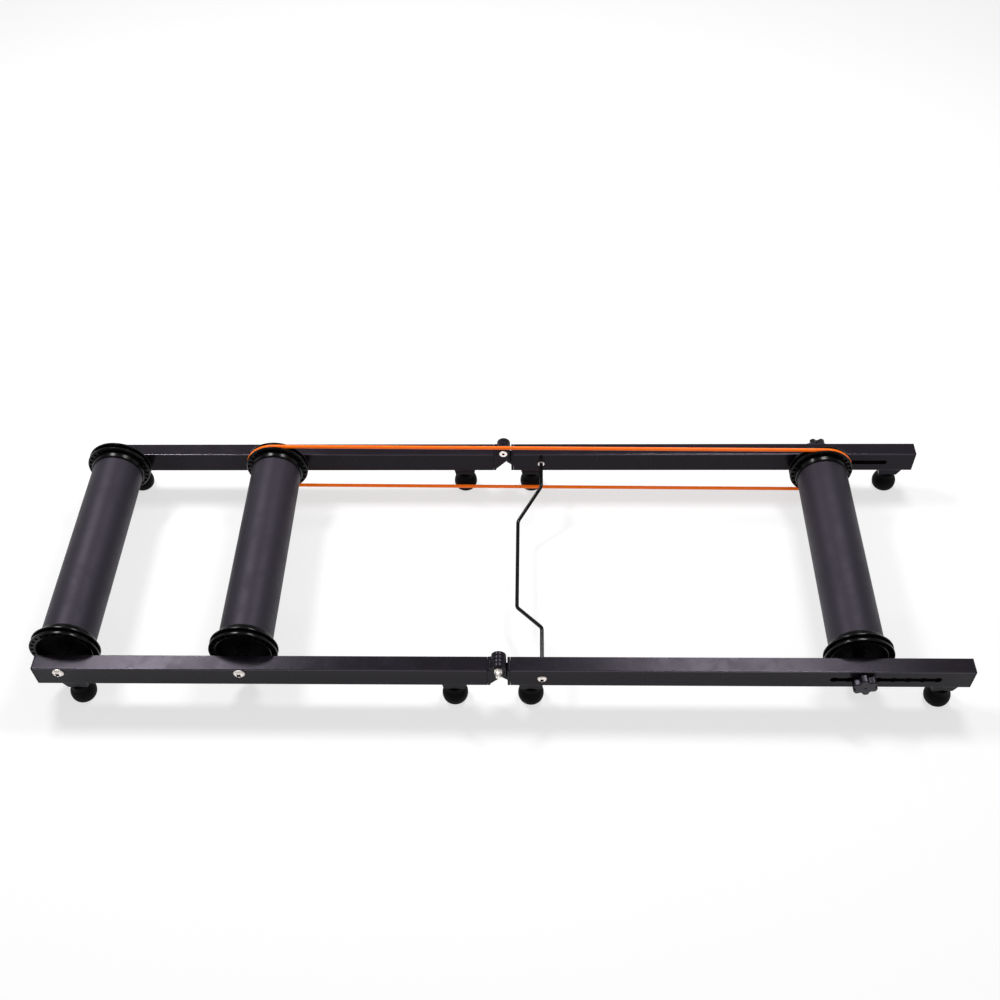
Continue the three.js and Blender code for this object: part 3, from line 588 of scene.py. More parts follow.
class ROLLERS_OT_finishes(Step):
    """Mixes the powder coat, anodising, plastics, rubber, zinc, enamel and belt finishes"""

    bl_idname = "rollers.finishes"
    bl_label = "Finishes"

    def make(self):
        fine_grain(), handling_marks(), drawn_lines()
        c = self.colours
        surface("powder_coat", c.rail, 0.16, (0.22, 0.30), 1500.0, 0.12, specular=0.12,
                gloss_tint=(0.9, 0.8, 1.0))
        surface("anodised_drum", c.drum, 0.10, (0.52, 0.60), 900.0, 0.06, specular=0.38, lines=True,
                gloss_tint=(0.9, 0.8, 1.0))
        surface("glossy_plastic", c.cap, 0.20, (0.20, 0.28), 500.0, 0.04, specular=0.14)
        surface("plain_plastic", c.plug, 0.20, (0.38, 0.50), 1400.0, 0.25, specular=0.15)
        surface("textured_plastic", c.knob, 0.18, (0.28, 0.38), 1100.0, 0.30, specular=0.32,
                gloss_tint=(0.9, 0.8, 1.0))
        surface("foot_rubber", c.rubber, 0.25, (0.60, 0.78), 1300.0, 0.35, specular=0.08)
        # Painted shade: this near-black finish stands in for the shade inside tubes, sockets and cap recesses
        surface("painted_shade_inside", c.inside, 0.20, (0.60, 0.80), 900.0, 0.15, specular=0.03)
        surface("rubbed_edge", c.rail, 0.16, (0.16, 0.24), 1500.0, 0.05, specular=0.9, gloss_tint=(0.9, 0.8, 1.0))
        surface("zinc_plating", c.zinc, 0.08, (0.32, 0.44), 800.0, 0.03, metallic=1.0)
        surface("black_steel", c.steel, 0.20, (0.25, 0.38), 900.0, 0.08, metallic=0.8, specular=0.4)
        surface("gloss_enamel", c.enamel, 0.15, (0.12, 0.22), 400.0, 0.05, specular=0.16)
        # The belt's painted glow makes it shine orange by its own light
        surface("elastic_belt", c.belt, 0.04, (0.34, 0.46), 900.0, 0.06, specular=0.30, glow_through=1.0,
                painted_glow=0.34)


class ROLLERS_OT_rails(Step):
    """Models the four half rails with their holes, notched slots, foot brackets and welds"""

    bl_idname = "rollers.rails"
    bl_label = "Rails"

    slot_pitch = 21.3 * MM
    slot_steps = range(-2, 6)
    notch_radius = 5.8 * MM
    slit_half_height = 4.2 * MM
    plain_half_height = 4.6 * MM
    plain_corner = 2.5 * MM
    axle_hole = 5.3 * MM
    rod_hole = 3.3 * MM
    rail_bottom = 49 * MM
    rail_top = 89 * MM
    foot_top = 34.5 * MM
    cut_reach = 20 * MM
    coat_depth = 0.6 * MM
    bracket_widths = (30.5 * MM, 36 * MM)
    bracket_depth = 21 * MM
    bracket_bend = 2 * MM
    bracket_overlap = 0.5 * MM
    outer_slant = (-2.2 * MM, 3 * MM)
    weld_inset = 2 * MM
    foot_nut = (13 * MM, 5 * MM)

    def tube(self, x0, x1, y0, y1):
        s = self.sizes
        bar = sheet(rectangle(y0, self.rail_bottom, y1, self.rail_top, s.rail_corner), x0, x1, "X")
        edit(bar, "FACE")
        pick("FACE", lambda middle, normal: abs(normal.x) > 0.9)
        bpy.ops.mesh.delete(type="FACE")
        apply(bar, "SOLIDIFY", thickness=s.rail_wall, offset=-1, use_even_offset=True)
        return bevel(bar, 0.35 * MM, 2, 60)

    def hole(self, radius, x, y, z):
        return drill(radius, y - self.cut_reach, y + self.cut_reach, (x, 0, z))

    def notched_slot(self, x, y, z):
        """The slot of the outer wall: round notches, one pitch apart, joined by a narrower slit."""
        radius, lift = self.notch_radius, asin(self.slit_half_height / self.notch_radius)
        top = []
        for step in self.slot_steps:
            first = pi if step == self.slot_steps[0] else pi - lift
            last = 0 if step == self.slot_steps[-1] else lift
            for k in range(9):
                turn = first + (last - first) * k / 8
                top.append((x + step * self.slot_pitch + radius * cos(turn), radius * sin(turn)))
        bottom = [(u, -v) for u, v in reversed(top[1:-1])]
        return sheet([(u, z + v) for u, v in top + bottom], y, y + self.cut_reach)

    def plain_slot(self, x, y, z):
        """The slot of the inner wall, which has no notches."""
        first = x + self.slot_steps[0] * self.slot_pitch - self.notch_radius
        last = x + self.slot_steps[-1] * self.slot_pitch + self.notch_radius
        height = self.plain_half_height
        return sheet(rectangle(first, z - height, last, z + height, self.plain_corner), y - self.cut_reach, y)

    def coat(self, rail, y0, y1):
        """Powder coat outside, with its rubbed edges, and painted shade inside the tube and on the edges of the
        holes.
        """
        skin = self.coat_depth

        def choose(face):
            y, z = face.center.y, face.center.z
            if y0 + skin < y < y1 - skin and self.rail_bottom + skin < z < self.rail_top - skin:
                return 1
            return 2 if abs(face.normal.y) > 0.1 and abs(face.normal.z) > 0.1 else 0

        coated(rail, ("powder_coat", "painted_shade_inside", "rubbed_edge"), choose)

    def bracket(self, x, y, outer):
        """Sheet steel, bent to a channel that narrows down to the foot, with its welds and the foot's nut. The
        brackets at the outer ends slant more on their outer side, which outer gives as -1 or 1."""
        low, high = (width / 2 for width in self.bracket_widths)
        side_reach, top = self.bracket_depth / 2, self.rail_bottom + self.bracket_overlap
        ends = {side: (low, high) if side != outer else (low + self.outer_slant[0], high + self.outer_slant[1])
                for side in (-1, 1)}
        block = sheet([(x - ends[-1][0], self.foot_top), (x + ends[1][0], self.foot_top), (x + ends[1][1], top),
                       (x - ends[-1][1], top)], y - side_reach, y + side_reach)
        edit(block, "FACE")
        pick("FACE", lambda middle, normal: normal.z > 0.9 or abs(normal.x) > 0.5)
        bpy.ops.mesh.delete(type="FACE")
        pick("EDGE", lambda middle, along: abs(along.x) > 0.9 and middle.z < self.foot_top + MM)
        bpy.ops.mesh.bevel(offset=self.bracket_bend, segments=4, affect="EDGES")
        bpy.ops.object.mode_set(mode="OBJECT")
        apply(block, "SOLIDIFY", thickness=self.sizes.bracket_sheet, offset=-1, use_even_offset=True)
        bevel(block, 0.3 * MM, 1, 50)
        half = high - self.weld_inset
        welds = [weld((x - half, y + side * side_reach, self.rail_bottom),
                      (x + half, y + side * side_reach, self.rail_bottom), self.sizes.weld_bead) for side in (-1, 1)]
        floor, (width, height) = self.foot_top + self.sizes.bracket_sheet, self.foot_nut
        nut = hexagonal(width, floor, floor + height, centre=(x, y, 0), axis="Z")
        nut.data.materials.append(FINISHES["zinc_plating"])
        for part in (block, *welds):
            part.data.materials.append(FINISHES["powder_coat"])
        return [block, *welds, nut]

    def make(self):
        feet = {"rear": ("foot_rear_outer", "foot_rear_inner"), "front": ("foot_front_inner", "foot_front_outer")}
        for half in ("rear", "front"):
            low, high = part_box(f"{half}_rail_far")
            y = (low.y + high.y) / 2
            rail = self.tube(low.x, high.x, low.y, high.y)
            if half == "rear":
                axles = [middle_of("rear_axle"), middle_of("middle_axle")]
                cutters = [self.hole(self.axle_hole, axle.x, y, axle.z) for axle in axles]
            else:
                axle, rod = middle_of("front_axle"), middle_of("stand_rod_screw_far")
                cutters = [self.notched_slot(axle.x, y, axle.z), self.plain_slot(axle.x, y, axle.z),
                           self.hole(self.rod_hole, rod.x, y, rod.z)]
            combine(rail, *cutters)
            self.coat(rail, low.y, high.y)
            end = -1 if half == "rear" else 1
            brackets = [part for foot in feet[half]
                        for part in self.bracket(middle_of(foot + "_far").x, y, end if "outer" in foot else 0)]
            both_sides(gathered(rail, *brackets), f"{half}_rail", [])


class ROLLERS_OT_end_plugs(Step):
    """Models the plastic plugs in the outer ends of the rails"""

    bl_idname = "rollers.end_plugs"
    bl_label = "End plugs"

    flange = 2 * MM
    rim = 2.8 * MM
    recess = 0.5 * MM
    stem_inset = 1.8 * MM
    stem_wall = 2.5 * MM

    def make(self):
        for half, end in (("rear", -1), ("front", 1)):
            low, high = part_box(f"{half}_plug_far")
            face, tip = (low.x, high.x) if end < 0 else (high.x, low.x)
            seat = face - end * self.flange

            def block(inset, corner, start, stop):
                """A block within the plug's outline, an inset smaller all round."""
                return sheet(rectangle(low.y + inset, low.z + inset, high.y - inset, high.z - inset, corner),
                             start, stop, "X")

            cap = block(0, self.sizes.rail_corner, seat, face)
            combine(cap, block(self.rim, 0.6 * MM, face - end * self.recess, face + end * MM))
            bevel(cap, 0.3 * MM, 2, 60)
            stem = block(self.stem_inset, 1.5 * MM, tip, seat + end * MM)
            combine(stem, block(self.stem_inset + self.stem_wall, MM, tip - end * MM, seat))
            both_sides(combine(cap, stem, how="UNION"), f"{half}_plug", "plain_plastic")


class ROLLERS_OT_feet(Step):
    """Turns the eight rubber feet"""

    bl_idname = "rollers.feet"
    bl_label = "Feet"

    top = 34.2 * MM
    sole = 15 * MM
    widest_height = 11.5 * MM
    waist = (14 * MM, 26 * MM)
    neck = 13 * MM

    def bulge(self, start, control, end):
        """Points of a smooth curve that leaves start towards control and reaches end from control."""
        steps = 12
        return [Vector(start) * (1 - t) ** 2 + Vector(control) * 2 * t * (1 - t) + Vector(end) * t * t
                for t in (k / steps for k in range(steps + 1))]

    def make(self):
        r, high = self.sizes.foot_radius, self.widest_height
        section = [(0, 0.6 * MM), (9 * MM, 0.6 * MM), (9.6 * MM, 0)]
        section += self.bulge((self.sole, 0), (r, high / 4), (r, high))
        section += self.bulge((r, high), (r, (high + self.waist[1]) / 2), self.waist)[1:]
        section += [(self.neck + 0.1 * MM, self.top - 0.8 * MM), (self.neck - 0.6 * MM, self.top), (0, self.top)]
        foot = turned(section, axis="Z", steps=64, closed=False)
        for node in [f"foot_{place}_{side}" for place in ("rear_outer", "rear_inner", "front_inner", "front_outer")
                     for side in SIDES]:
            place = middle_of(node)
            finished(copied(foot, (place.x, place.y, 0)), node, "foot_rubber")
        bpy.data.objects.remove(foot)


class ROLLERS_OT_hinges(Step):
    """Models the hinge leaves with their knuckles, the hinge bolts and the domed nuts"""

    bl_idname = "rollers.hinges"
    bl_label = "Hinges"

    plate = (12.7 * MM, 16.7 * MM)
    rail_heights = (49 * MM, 89 * MM)
    knuckle_radius = 11.1 * MM
    knuckles = 4
    knuckle_gap = 0.35 * MM
    notch = Vector((4.5 * MM, 71.5 * MM))
    lug_feet = {-1: 50.4 * MM, 1: 62.5 * MM}
    slit_end = 73 * MM
    slit_fall = 2 * MM
    web_reach = 0.85
    # Heights of the rear leaf's web: its foot at the plate, and its foot beside the knuckles
    rear_web = (72 * MM, 84 * MM)
    web_inset = 0.3 * MM
    step_down = 0.1 * MM
    pin_hole = 3.3 * MM
    bolt_head = (6.7 * MM, 2.2 * MM)
    bolt_socket = (4.6 * MM, 3.6 * MM)
    nut_width = 10.9 * MM

    def lug_outline(self, end, pin, notch_turn, touch_turn):
        """A knuckle and the lug that carries it. The rear leaf's are closed up to the rail's top, and the front
        leaf's leave a slit between knuckle and plate."""
        back = sum(self.plate) / 2
        if end < 0:
            first = notch_turn + touch_turn
            last = pi + asin((pin.z - self.rail_heights[1]) / self.knuckle_radius)
            rest = [(-back, self.rail_heights[1] - self.step_down)]
        else:
            first, last = 2 * pi + notch_turn - touch_turn, 0
            rest = [(self.knuckle_radius, self.slit_end), (back, self.slit_end - self.slit_fall)]
        steps = 32
        arc = [(self.knuckle_radius * cos(first + (last - first) * k / steps),
                pin.z + self.knuckle_radius * sin(first + (last - first) * k / steps)) for k in range(steps + 1)]
        return [(end * back, self.lug_feet[end]), self.notch, *arc, *rest]

    def web_outline(self, pin, touch):
        """The web that joins the front leaf's lugs and reaches up beside the rear ones."""
        back = sum(self.plate) / 2
        clear = Vector((self.knuckle_gap / cos(touch), 0))
        point = Vector((self.knuckle_radius * cos(touch), pin.z + self.knuckle_radius * sin(touch)))
        tip = self.notch.lerp(point, self.web_reach) + clear
        fall = (self.notch.y - self.lug_feet[1]) * clear.x / (back - self.notch.x)
        return [(back, self.lug_feet[1]), self.notch + clear - Vector((0, fall)), tip, (self.knuckle_radius, tip.y),
                (self.knuckle_radius, self.slit_end), (back, self.slit_end - self.slit_fall)]

    def leaf(self, end, pin, y0, y1, first):
        """A leaf's plate over the rail's end with its two knuckles, whose lower edges slant up to the notch. The
        knuckles are counted from the side first."""
        plate = sheet(rectangle(y0, self.rail_heights[0], y1, self.rail_heights[1], self.sizes.rail_corner),
                      pin.x + end * self.plate[0], pin.x + end * self.plate[1], "X")
        bevel(plate, 0.6 * MM, 2, 50)
        offset = self.notch - Vector((0, pin.z))
        notch_turn, touch_turn = atan2(offset.y, offset.x), acos(self.knuckle_radius / offset.length)
        outline = self.lug_outline(end, pin, notch_turn, touch_turn)
        width = (y1 - y0 - (self.knuckles - 1) * self.knuckle_gap) / self.knuckles
        pitch = width + self.knuckle_gap
        lugs = []
        turn = 1 if first == y0 else -1
        for n in range(0 if end < 0 else 1, self.knuckles, 2):
            start = first + turn * n * pitch
            lug = sheet([(pin.x + u, v) for u, v in outline], start, start + turn * width)
            lugs.append(bevel(lug, 0.9 * MM, 3, 50))
        if end > 0:
            web = self.web_outline(pin, notch_turn + touch_turn)
            lugs.append(bevel(sheet([(pin.x + u, v) for u, v in web], y0, y1), 0.3 * MM, 2, 50))
        else:
            clear = self.knuckle_radius + self.knuckle_gap + 0.05 * MM
            foot, low = self.rear_web
            high = self.rail_heights[1] - self.step_down
            beside = [(pin.x - (clear ** 2 - (pin.z - z) ** 2) ** 0.5, z)
                      for z in (low + k * (high - low) / 4 for k in range(5))]
            back = pin.x - sum(self.plate) / 2
            lugs.append(sheet([(back, foot), *beside, (back, high)], y0 + self.web_inset, y1 - self.web_inset))
        combine(plate, *lugs, how="UNION")
        combine(plate, drill(self.pin_hole, y0 - 2 * MM, y1 + 2 * MM, (pin.x, 0, pin.z)))
        if end > 0:
            return plate
        x, z = pin.x - self.plate[1] + 1.4 * MM, self.rail_heights[1] - 0.5 * MM
        return gathered(plate, weld((x, y0 + 0.8 * MM, z), (x, y1 - 0.8 * MM, z), self.sizes.weld_bead))

    def domed_nut(self, pin, seat, side):
        hexagon, section = DOMED_NUTS[side]
        nut = hexagonal(self.nut_width, seat, seat + hexagon * MM, centre=(pin.x, 0, pin.z))
        dome = turned([(r, seat + d) for r, d in rounded(in_millimetres(section), closed=False)],
                      (pin.x, 0, pin.z), closed=False)
        combine(nut, dome, how="UNION")
        return combine(nut, drill(self.pin_hole, seat - MM, seat + hexagon * MM, (pin.x, 0, pin.z)))

    def bolt(self, pin, top, reach):
        radius, height = self.bolt_head
        seat, shank = top + height, self.pin_hole - 0.3 * MM
        head = turned(rounded([(0, top, 0), (radius, top, 0.6 * MM), (radius, seat, 0.3 * MM), (shank, seat, 0),
                               (shank, reach, 0.4 * MM), (0, reach, 0)], closed=False),
                      (pin.x, 0, pin.z), steps=64, closed=False)
        width, depth = self.bolt_socket
        return socket(head, hexagonal(width, top - MM, top + depth, centre=(pin.x, 0, pin.z)))

    def make(self):
        pin = middle_of("hinge_bolt_far")
        low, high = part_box("front_rail_far")
        for half, end in (("rear", -1), ("front", 1)):
            for (side, sign), first in zip(SIDES.items(), (low.y, high.y)):
                leaf = on_side(self.leaf(end, pin, low.y, high.y, first), sign)
                finished(leaf, f"hinge_leaf_{half}_{side}", "powder_coat", 30)
        top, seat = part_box("hinge_bolt_far")[0].y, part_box("hinge_cap_nut_far")[0].y
        for side, sign in SIDES.items():
            reach = max(abs(corner.y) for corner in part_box(f"hinge_bolt_{side}"))
            finished(on_side(self.bolt(pin, top, reach), sign), f"hinge_bolt_{side}", [])
            finished(on_side(self.domed_nut(pin, seat, side), sign), f"hinge_cap_nut_{side}", "zinc_plating")


class ROLLERS_OT_drum_tubes(Step):
    """Turns the three drum tubes"""

    bl_idname = "rollers.drum_tubes"
    bl_label = "Drum tubes"

    def make(self):
        low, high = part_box("rear_drum_tube")
        radius, reach = (high.z - low.z) / 2, high.y
        inner, edge = radius - self.sizes.drum_wall, 0.4 * MM
        tube = turned(rounded([(radius, -reach, edge), (radius, reach, edge), (inner, reach, edge),
                               (inner, -reach, edge)], steps=2), steps=DRUM_STEPS)
        for roller in ROLLERS:
            place = middle_of(f"{roller}_drum_tube")
            finished(copied(tube, place), f"{roller}_drum_tube", "anodised_drum")
        bpy.data.objects.remove(tube)


class ROLLERS_OT_end_caps(Step):
    """Turns the six end caps, with belt groove, rings of small windows, recess, hub and lip"""

    bl_idname = "rollers.end_caps"
    bl_label = "End caps"

    # Within this radius, the cap lies in the shade of the rail, so its faces get the painted shade
    shaded = 40.5 * MM

    def windows(self, cap, face, outward_sign):
        """Presses two of every four fields of the band on one face inwards."""
        inner, outer = (radius * MM for radius in CAP_WINDOW_BAND)
        field = 2 * pi / CAP_STEPS
        edit(cap, "FACE")

        def in_window(middle, normal):
            turn = atan2(middle.z, middle.x) % (2 * pi)
            in_band = abs(middle.y - face) < MERGE * 10 and inner < off_axis(middle) < outer
            return in_band and int(turn / field) % 4 < 2

        pick("FACE", in_window)
        bpy.ops.mesh.extrude_region_move(
            TRANSFORM_OT_translate={"value": (0, -outward_sign * CAP_WINDOW_DEPTH * MM, 0)})
        bpy.ops.object.mode_set(mode="OBJECT")

    def make(self):
        section = rounded(in_millimetres(CAP_SECTION), steps=4)
        cap = turned([(r, -d) for r, d in section], steps=CAP_STEPS)
        self.windows(cap, 0.0, 1)
        self.windows(cap, -CAP_WIDTH * MM, -1)
        outward(cap)
        coated(cap, ("glossy_plastic", "painted_shade_inside"), lambda face: int(off_axis(face.center) < self.shaded))
        mirrored = copied(cap, mirror=True)
        for roller in ROLLERS:
            for side, sign in SIDES.items():
                node = f"{roller}_end_cap_{side}"
                low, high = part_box(node)
                place = (middle_of(node).x, high.y if sign > 0 else low.y, middle_of(node).z)
                finished(copied(cap if sign > 0 else mirrored, place), node, [])
        bpy.data.objects.remove(cap)
        bpy.data.objects.remove(mirrored)


class ROLLERS_OT_bearings(Step):
    """Turns the six ball bearings with their sealed faces"""

    bl_idname = "rollers.bearings"
    bl_label = "Bearings"

    seal = (8.2 * MM, 12.3 * MM)

    def make(self):
        inner, outer = self.seal
        bearing = coated(turned(rounded(in_millimetres(BEARING_SECTION), steps=3)), ("zinc_plating", "foot_rubber"),
                         lambda face: int(inner < off_axis(face.center) < outer and abs(face.normal.y) > 0.9))
        for roller in ROLLERS:
            for side in SIDES:
                node = f"{roller}_bearing_{side}"
                place = middle_of(node)
                finished(copied(bearing, (place.x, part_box(node)[0].y, place.z)), node, [])
        bpy.data.objects.remove(bearing)


class ROLLERS_OT_axles(Step):
    """Turns the three axles with their thinner, threaded stubs"""

    bl_idname = "rollers.axles"
    bl_label = "Axles"

    thread_depth = 0.3 * MM
    edge = 0.4 * MM
    # Distance from the middle to the shoulder, and the stub's radius
    ends = {"rear": (209 * MM, 3 * MM), "middle": (209 * MM, 3 * MM), "front": (199.7 * MM, 2.9 * MM)}

    def make(self):
        radius, pitch = self.sizes.axle_radius, self.sizes.thread_pitch
        for roller, (shoulder, stub) in self.ends.items():
            node = f"{roller}_axle"
            place, reach = middle_of(node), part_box(node)[1].y
            end = [(0, 0), (stub - self.thread_depth, 0)]
            for k in range(int((reach - shoulder) / pitch) - 1):
                start = (k + 0.5) * pitch
                end += [(stub, start), (stub - self.thread_depth, start + 0.5 * pitch)]
            step = reach - shoulder
            end += [(stub, step - 0.2 * MM), (stub, step), (radius - self.edge, step), (radius, step + self.edge)]
            section = [(r, -reach + d) for r, d in end] + [(r, reach - d) for r, d in reversed(end)]
            finished(turned(section, (place.x, 0, place.z), closed=False), node, "zinc_plating", 30)


class ROLLERS_OT_spacers_and_nuts(Step):
    """Models the spacers with their lock nuts inside the rails and the sleeve nuts outside them"""

    bl_idname = "rollers.spacers_and_nuts"
    bl_label = "Spacers and nuts"

    bore = 5.3 * MM
    lock_nut_height = 7 * MM
    sleeve = 8 * MM
    edge = 0.4 * MM
    nut_socket = (5.6 * MM, 4.6 * MM)

    def spacer(self):
        low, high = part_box("rear_spacer_far")
        face, edge = high.y - self.lock_nut_height, self.edge
        nut = hexagonal(self.sizes.lock_nut, face, high.y, self.bore)
        sleeve = turned(rounded([(self.bore, low.y, edge), (self.sleeve, low.y, edge), (self.sleeve, face + MM, 0),
                                 (self.bore, face + MM, 0)], steps=2))
        return combine(nut, sleeve, how="UNION")

    def sleeve_nut(self):
        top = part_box("rear_axle_nut_far")[1].y
        seat = top - SLEEVE_NUT_SECTION[0][1] * MM
        nut = turned([(r, seat + d) for r, d in rounded(in_millimetres(SLEEVE_NUT_SECTION), closed=False)],
                     closed=False)
        width, depth = self.nut_socket
        return socket(nut, hexagonal(width, top - depth, top + MM))

    def make(self):
        for piece, rollers, kind, finish in ((self.spacer(), ROLLERS, "spacer", "black_steel"),
                                             (self.sleeve_nut(), ROLLERS[:2], "axle_nut", [])):
            mirrored = copied(piece, mirror=True)
            for roller in rollers:
                place = middle_of(f"{roller}_axle")
                for side, sign in SIDES.items():
                    finished(copied(piece if sign > 0 else mirrored, (place.x, 0, place.z)),
                             f"{roller}_{kind}_{side}", finish, 25)
            bpy.data.objects.remove(piece)
            bpy.data.objects.remove(mirrored)


class ROLLERS_OT_clamp_knobs(Step):
    """Models the two star knobs that clamp the front axle"""

    bl_idname = "rollers.clamp_knobs"
    bl_label = "Clamp knobs"

    lobes = 6
    lobe_flat = 0.25
    first_turn = {"far": 0.169, "near": 0.286}
    points_per_lobe = 24
    thickness = 12.4 * MM
    collar_radius = 10 * MM
    bore_radius = 3.2 * MM
    bore_depth = 9 * MM
    dimple = (1.6 * MM, 1.5 * MM)

    def star(self, centre, first_turn):
        """Lobes with flat tops and round hollows between them; one lobe points to first_turn of a full turn."""
        s = self.sizes
        count = self.lobes * self.points_per_lobe
        points = []
        for n in range(count):
            turn = 2 * pi * n / count
            dip = max(0, (1 - cos(self.lobes * turn)) / 2 - self.lobe_flat) / (1 - self.lobe_flat)
            reach = s.knob_radius - s.knob_hollow * dip
            turn += 2 * pi * first_turn
            points.append((centre.x + reach * cos(turn), centre.z + reach * sin(turn)))
        return points

    def knob(self, place, low, high, first_turn):
        back, centre = high - self.thickness, (place.x, 0, place.z)
        knob = bevel(sheet(self.star(place, first_turn), back, high), 1.4 * MM, 4, 60)
        collar = turned(rounded([(0, low, 0), (self.collar_radius, low, 0.4 * MM), (self.collar_radius, back + MM, 0),
                                 (0, back + MM, 0)], closed=False), centre, closed=False)
        combine(knob, collar, how="UNION")
        bore = drill(self.bore_radius, low - MM, back + self.bore_depth, centre)
        radius, depth = self.dimple
        return combine(knob, bore, drill(radius, high - depth, high + MM, centre))

    def make(self):
        low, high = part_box("clamp_knob_far")
        place = middle_of("front_axle")
        for side, sign in SIDES.items():
            knob = on_side(self.knob(place, low.y, high.y, self.first_turn[side]), sign)
            finished(knob, f"clamp_knob_{side}", "textured_plastic")


class ROLLERS_OT_stand_rod(Step):
    """Bends the stand rod and turns its screws and ring nut"""

    bl_idname = "rollers.stand_rod"
    bl_label = "Stand rod"

    back = 38.4 * MM
    down = 24.6 * MM
    near_stub = 64.2 * MM
    far_stub = 53.6 * MM
    slant = 54.8 * MM
    bend = 13 * MM
    screw_socket = (4.8 * MM, 2.6 * MM)
    ring_radii = (3.3 * MM, 5.5 * MM)

    def route(self, pivot, end, rail):
        """The rod's middle line, in its own slanting plane, with a round bend at each corner."""
        x, z = pivot.x - self.back, pivot.z - self.down
        near, far = self.near_stub - rail, rail - self.far_stub
        corners = [Vector(corner) for corner in (
            (pivot.x, -end, pivot.z), (pivot.x, near, pivot.z), (x, near + self.slant, z), (x, far - self.slant, z),
            (pivot.x, far, pivot.z), (pivot.x, end, pivot.z))]
        line = [corners[0]]
        for before, here, after in zip(corners, corners[1:], corners[2:]):
            come, go = (here - before).normalized(), (after - here).normalized()
            angle = come.angle(go)
            start = here - come * self.bend * tan(angle / 2)
            inward = (go - come * come.dot(go)).normalized()
            steps = 10
            line += [start + come * self.bend * sin(turn) + inward * self.bend * (1 - cos(turn))
                     for turn in (angle * k / steps for k in range(steps + 1))]
        return [*line, corners[-1]]

    def make(self):
        pivot = middle_of("stand_rod_screw_far")
        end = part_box("stand_rod")[1].y
        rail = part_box("front_rail_far")[0].y
        rod = rod_along(self.route(pivot, end, rail), self.sizes.rod_radius)
        finished(rod, "stand_rod", "gloss_enamel", 40)

        centre = (pivot.x, 0, pivot.z)
        low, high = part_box("stand_rod_screw_far")
        head = turned([(r, low.y + d) for r, d in rounded(in_millimetres(BUTTON_SECTION), closed=False)], centre,
                      closed=False)
        width, depth = self.screw_socket
        socket(head, hexagonal(width, high.y - depth, high.y + MM, centre=centre))
        both_sides(head, "stand_rod_screw", [])

        low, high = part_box("stand_rod_nut_far")
        inner, outer = self.ring_radii
        ring = turned(rounded([(inner, low.y, 0.3 * MM), (outer, low.y, 0.6 * MM), (outer, high.y, 0.6 * MM),
                               (inner, high.y, 0.3 * MM)], steps=3), centre)
        finished(ring, "stand_rod_nut_far", "zinc_plating")


class ROLLERS_OT_drive_belt(Step):
    """Lays the belt round the middle and the front pulley, as two loops that meet beside the hinge"""

    bl_idname = "rollers.drive_belt"
    bl_label = "Drive belt"

    pitch_radius = 48.3 * MM
    wrap_steps = 48
    hinge_zone = 45 * MM
    seam = 62 * MM
    run_step = 2.5 * MM

    def loop(self, pulley, other, seam_x, y):
        """From the seam, round a pulley and back to the seam. Both runs are tangents to the two pulleys."""
        slope, radius = atan2(pulley.z - other.z, pulley.x - other.x), self.pitch_radius
        turns = (slope + pi / 2 - pi * k / self.wrap_steps for k in range(self.wrap_steps + 1))
        arc = [Vector((pulley.x + radius * cos(turn), y, pulley.z + radius * sin(turn))) for turn in turns]

        def run(point):
            at_seam = Vector((seam_x, y, point.z + (seam_x - point.x) * tan(slope)))
            count = max(2, round(abs(seam_x - point.x) / self.run_step))
            return [point.lerp(at_seam, k / count) for k in range(1, count + 1)]

        return [*reversed(run(arc[0])), *arc, *run(arc[-1])]

    def make(self):
        middle, front = middle_of("middle_axle"), middle_of("front_axle")
        pin, y = middle_of("hinge_bolt_far"), middle_of("drive_belt").y
        seam = pin.x + self.seam
        for name, pulley, other, bodies, start, end in (
            ("rear", middle, front, ("rear_frame", "front_frame"), pin.x - self.hinge_zone, pin.x + self.hinge_zone),
            ("front", front, middle, ("front_frame", "carriage"), seam + self.hinge_zone,
             front.x - 2 * self.pitch_radius),
        ):
            cord = rod_along(self.loop(pulley, other, seam, y), self.sizes.belt_radius)
            hold(cord)
            bpy.ops.object.shade_smooth_by_angle(angle=radians(60))
            cord.name = cord.data.name = f"drive_belt_{name}_loop"
            cord.data.materials.append(FINISHES["elastic_belt"])
            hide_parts("drive_belt")
            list(bodies)
            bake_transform(cord)


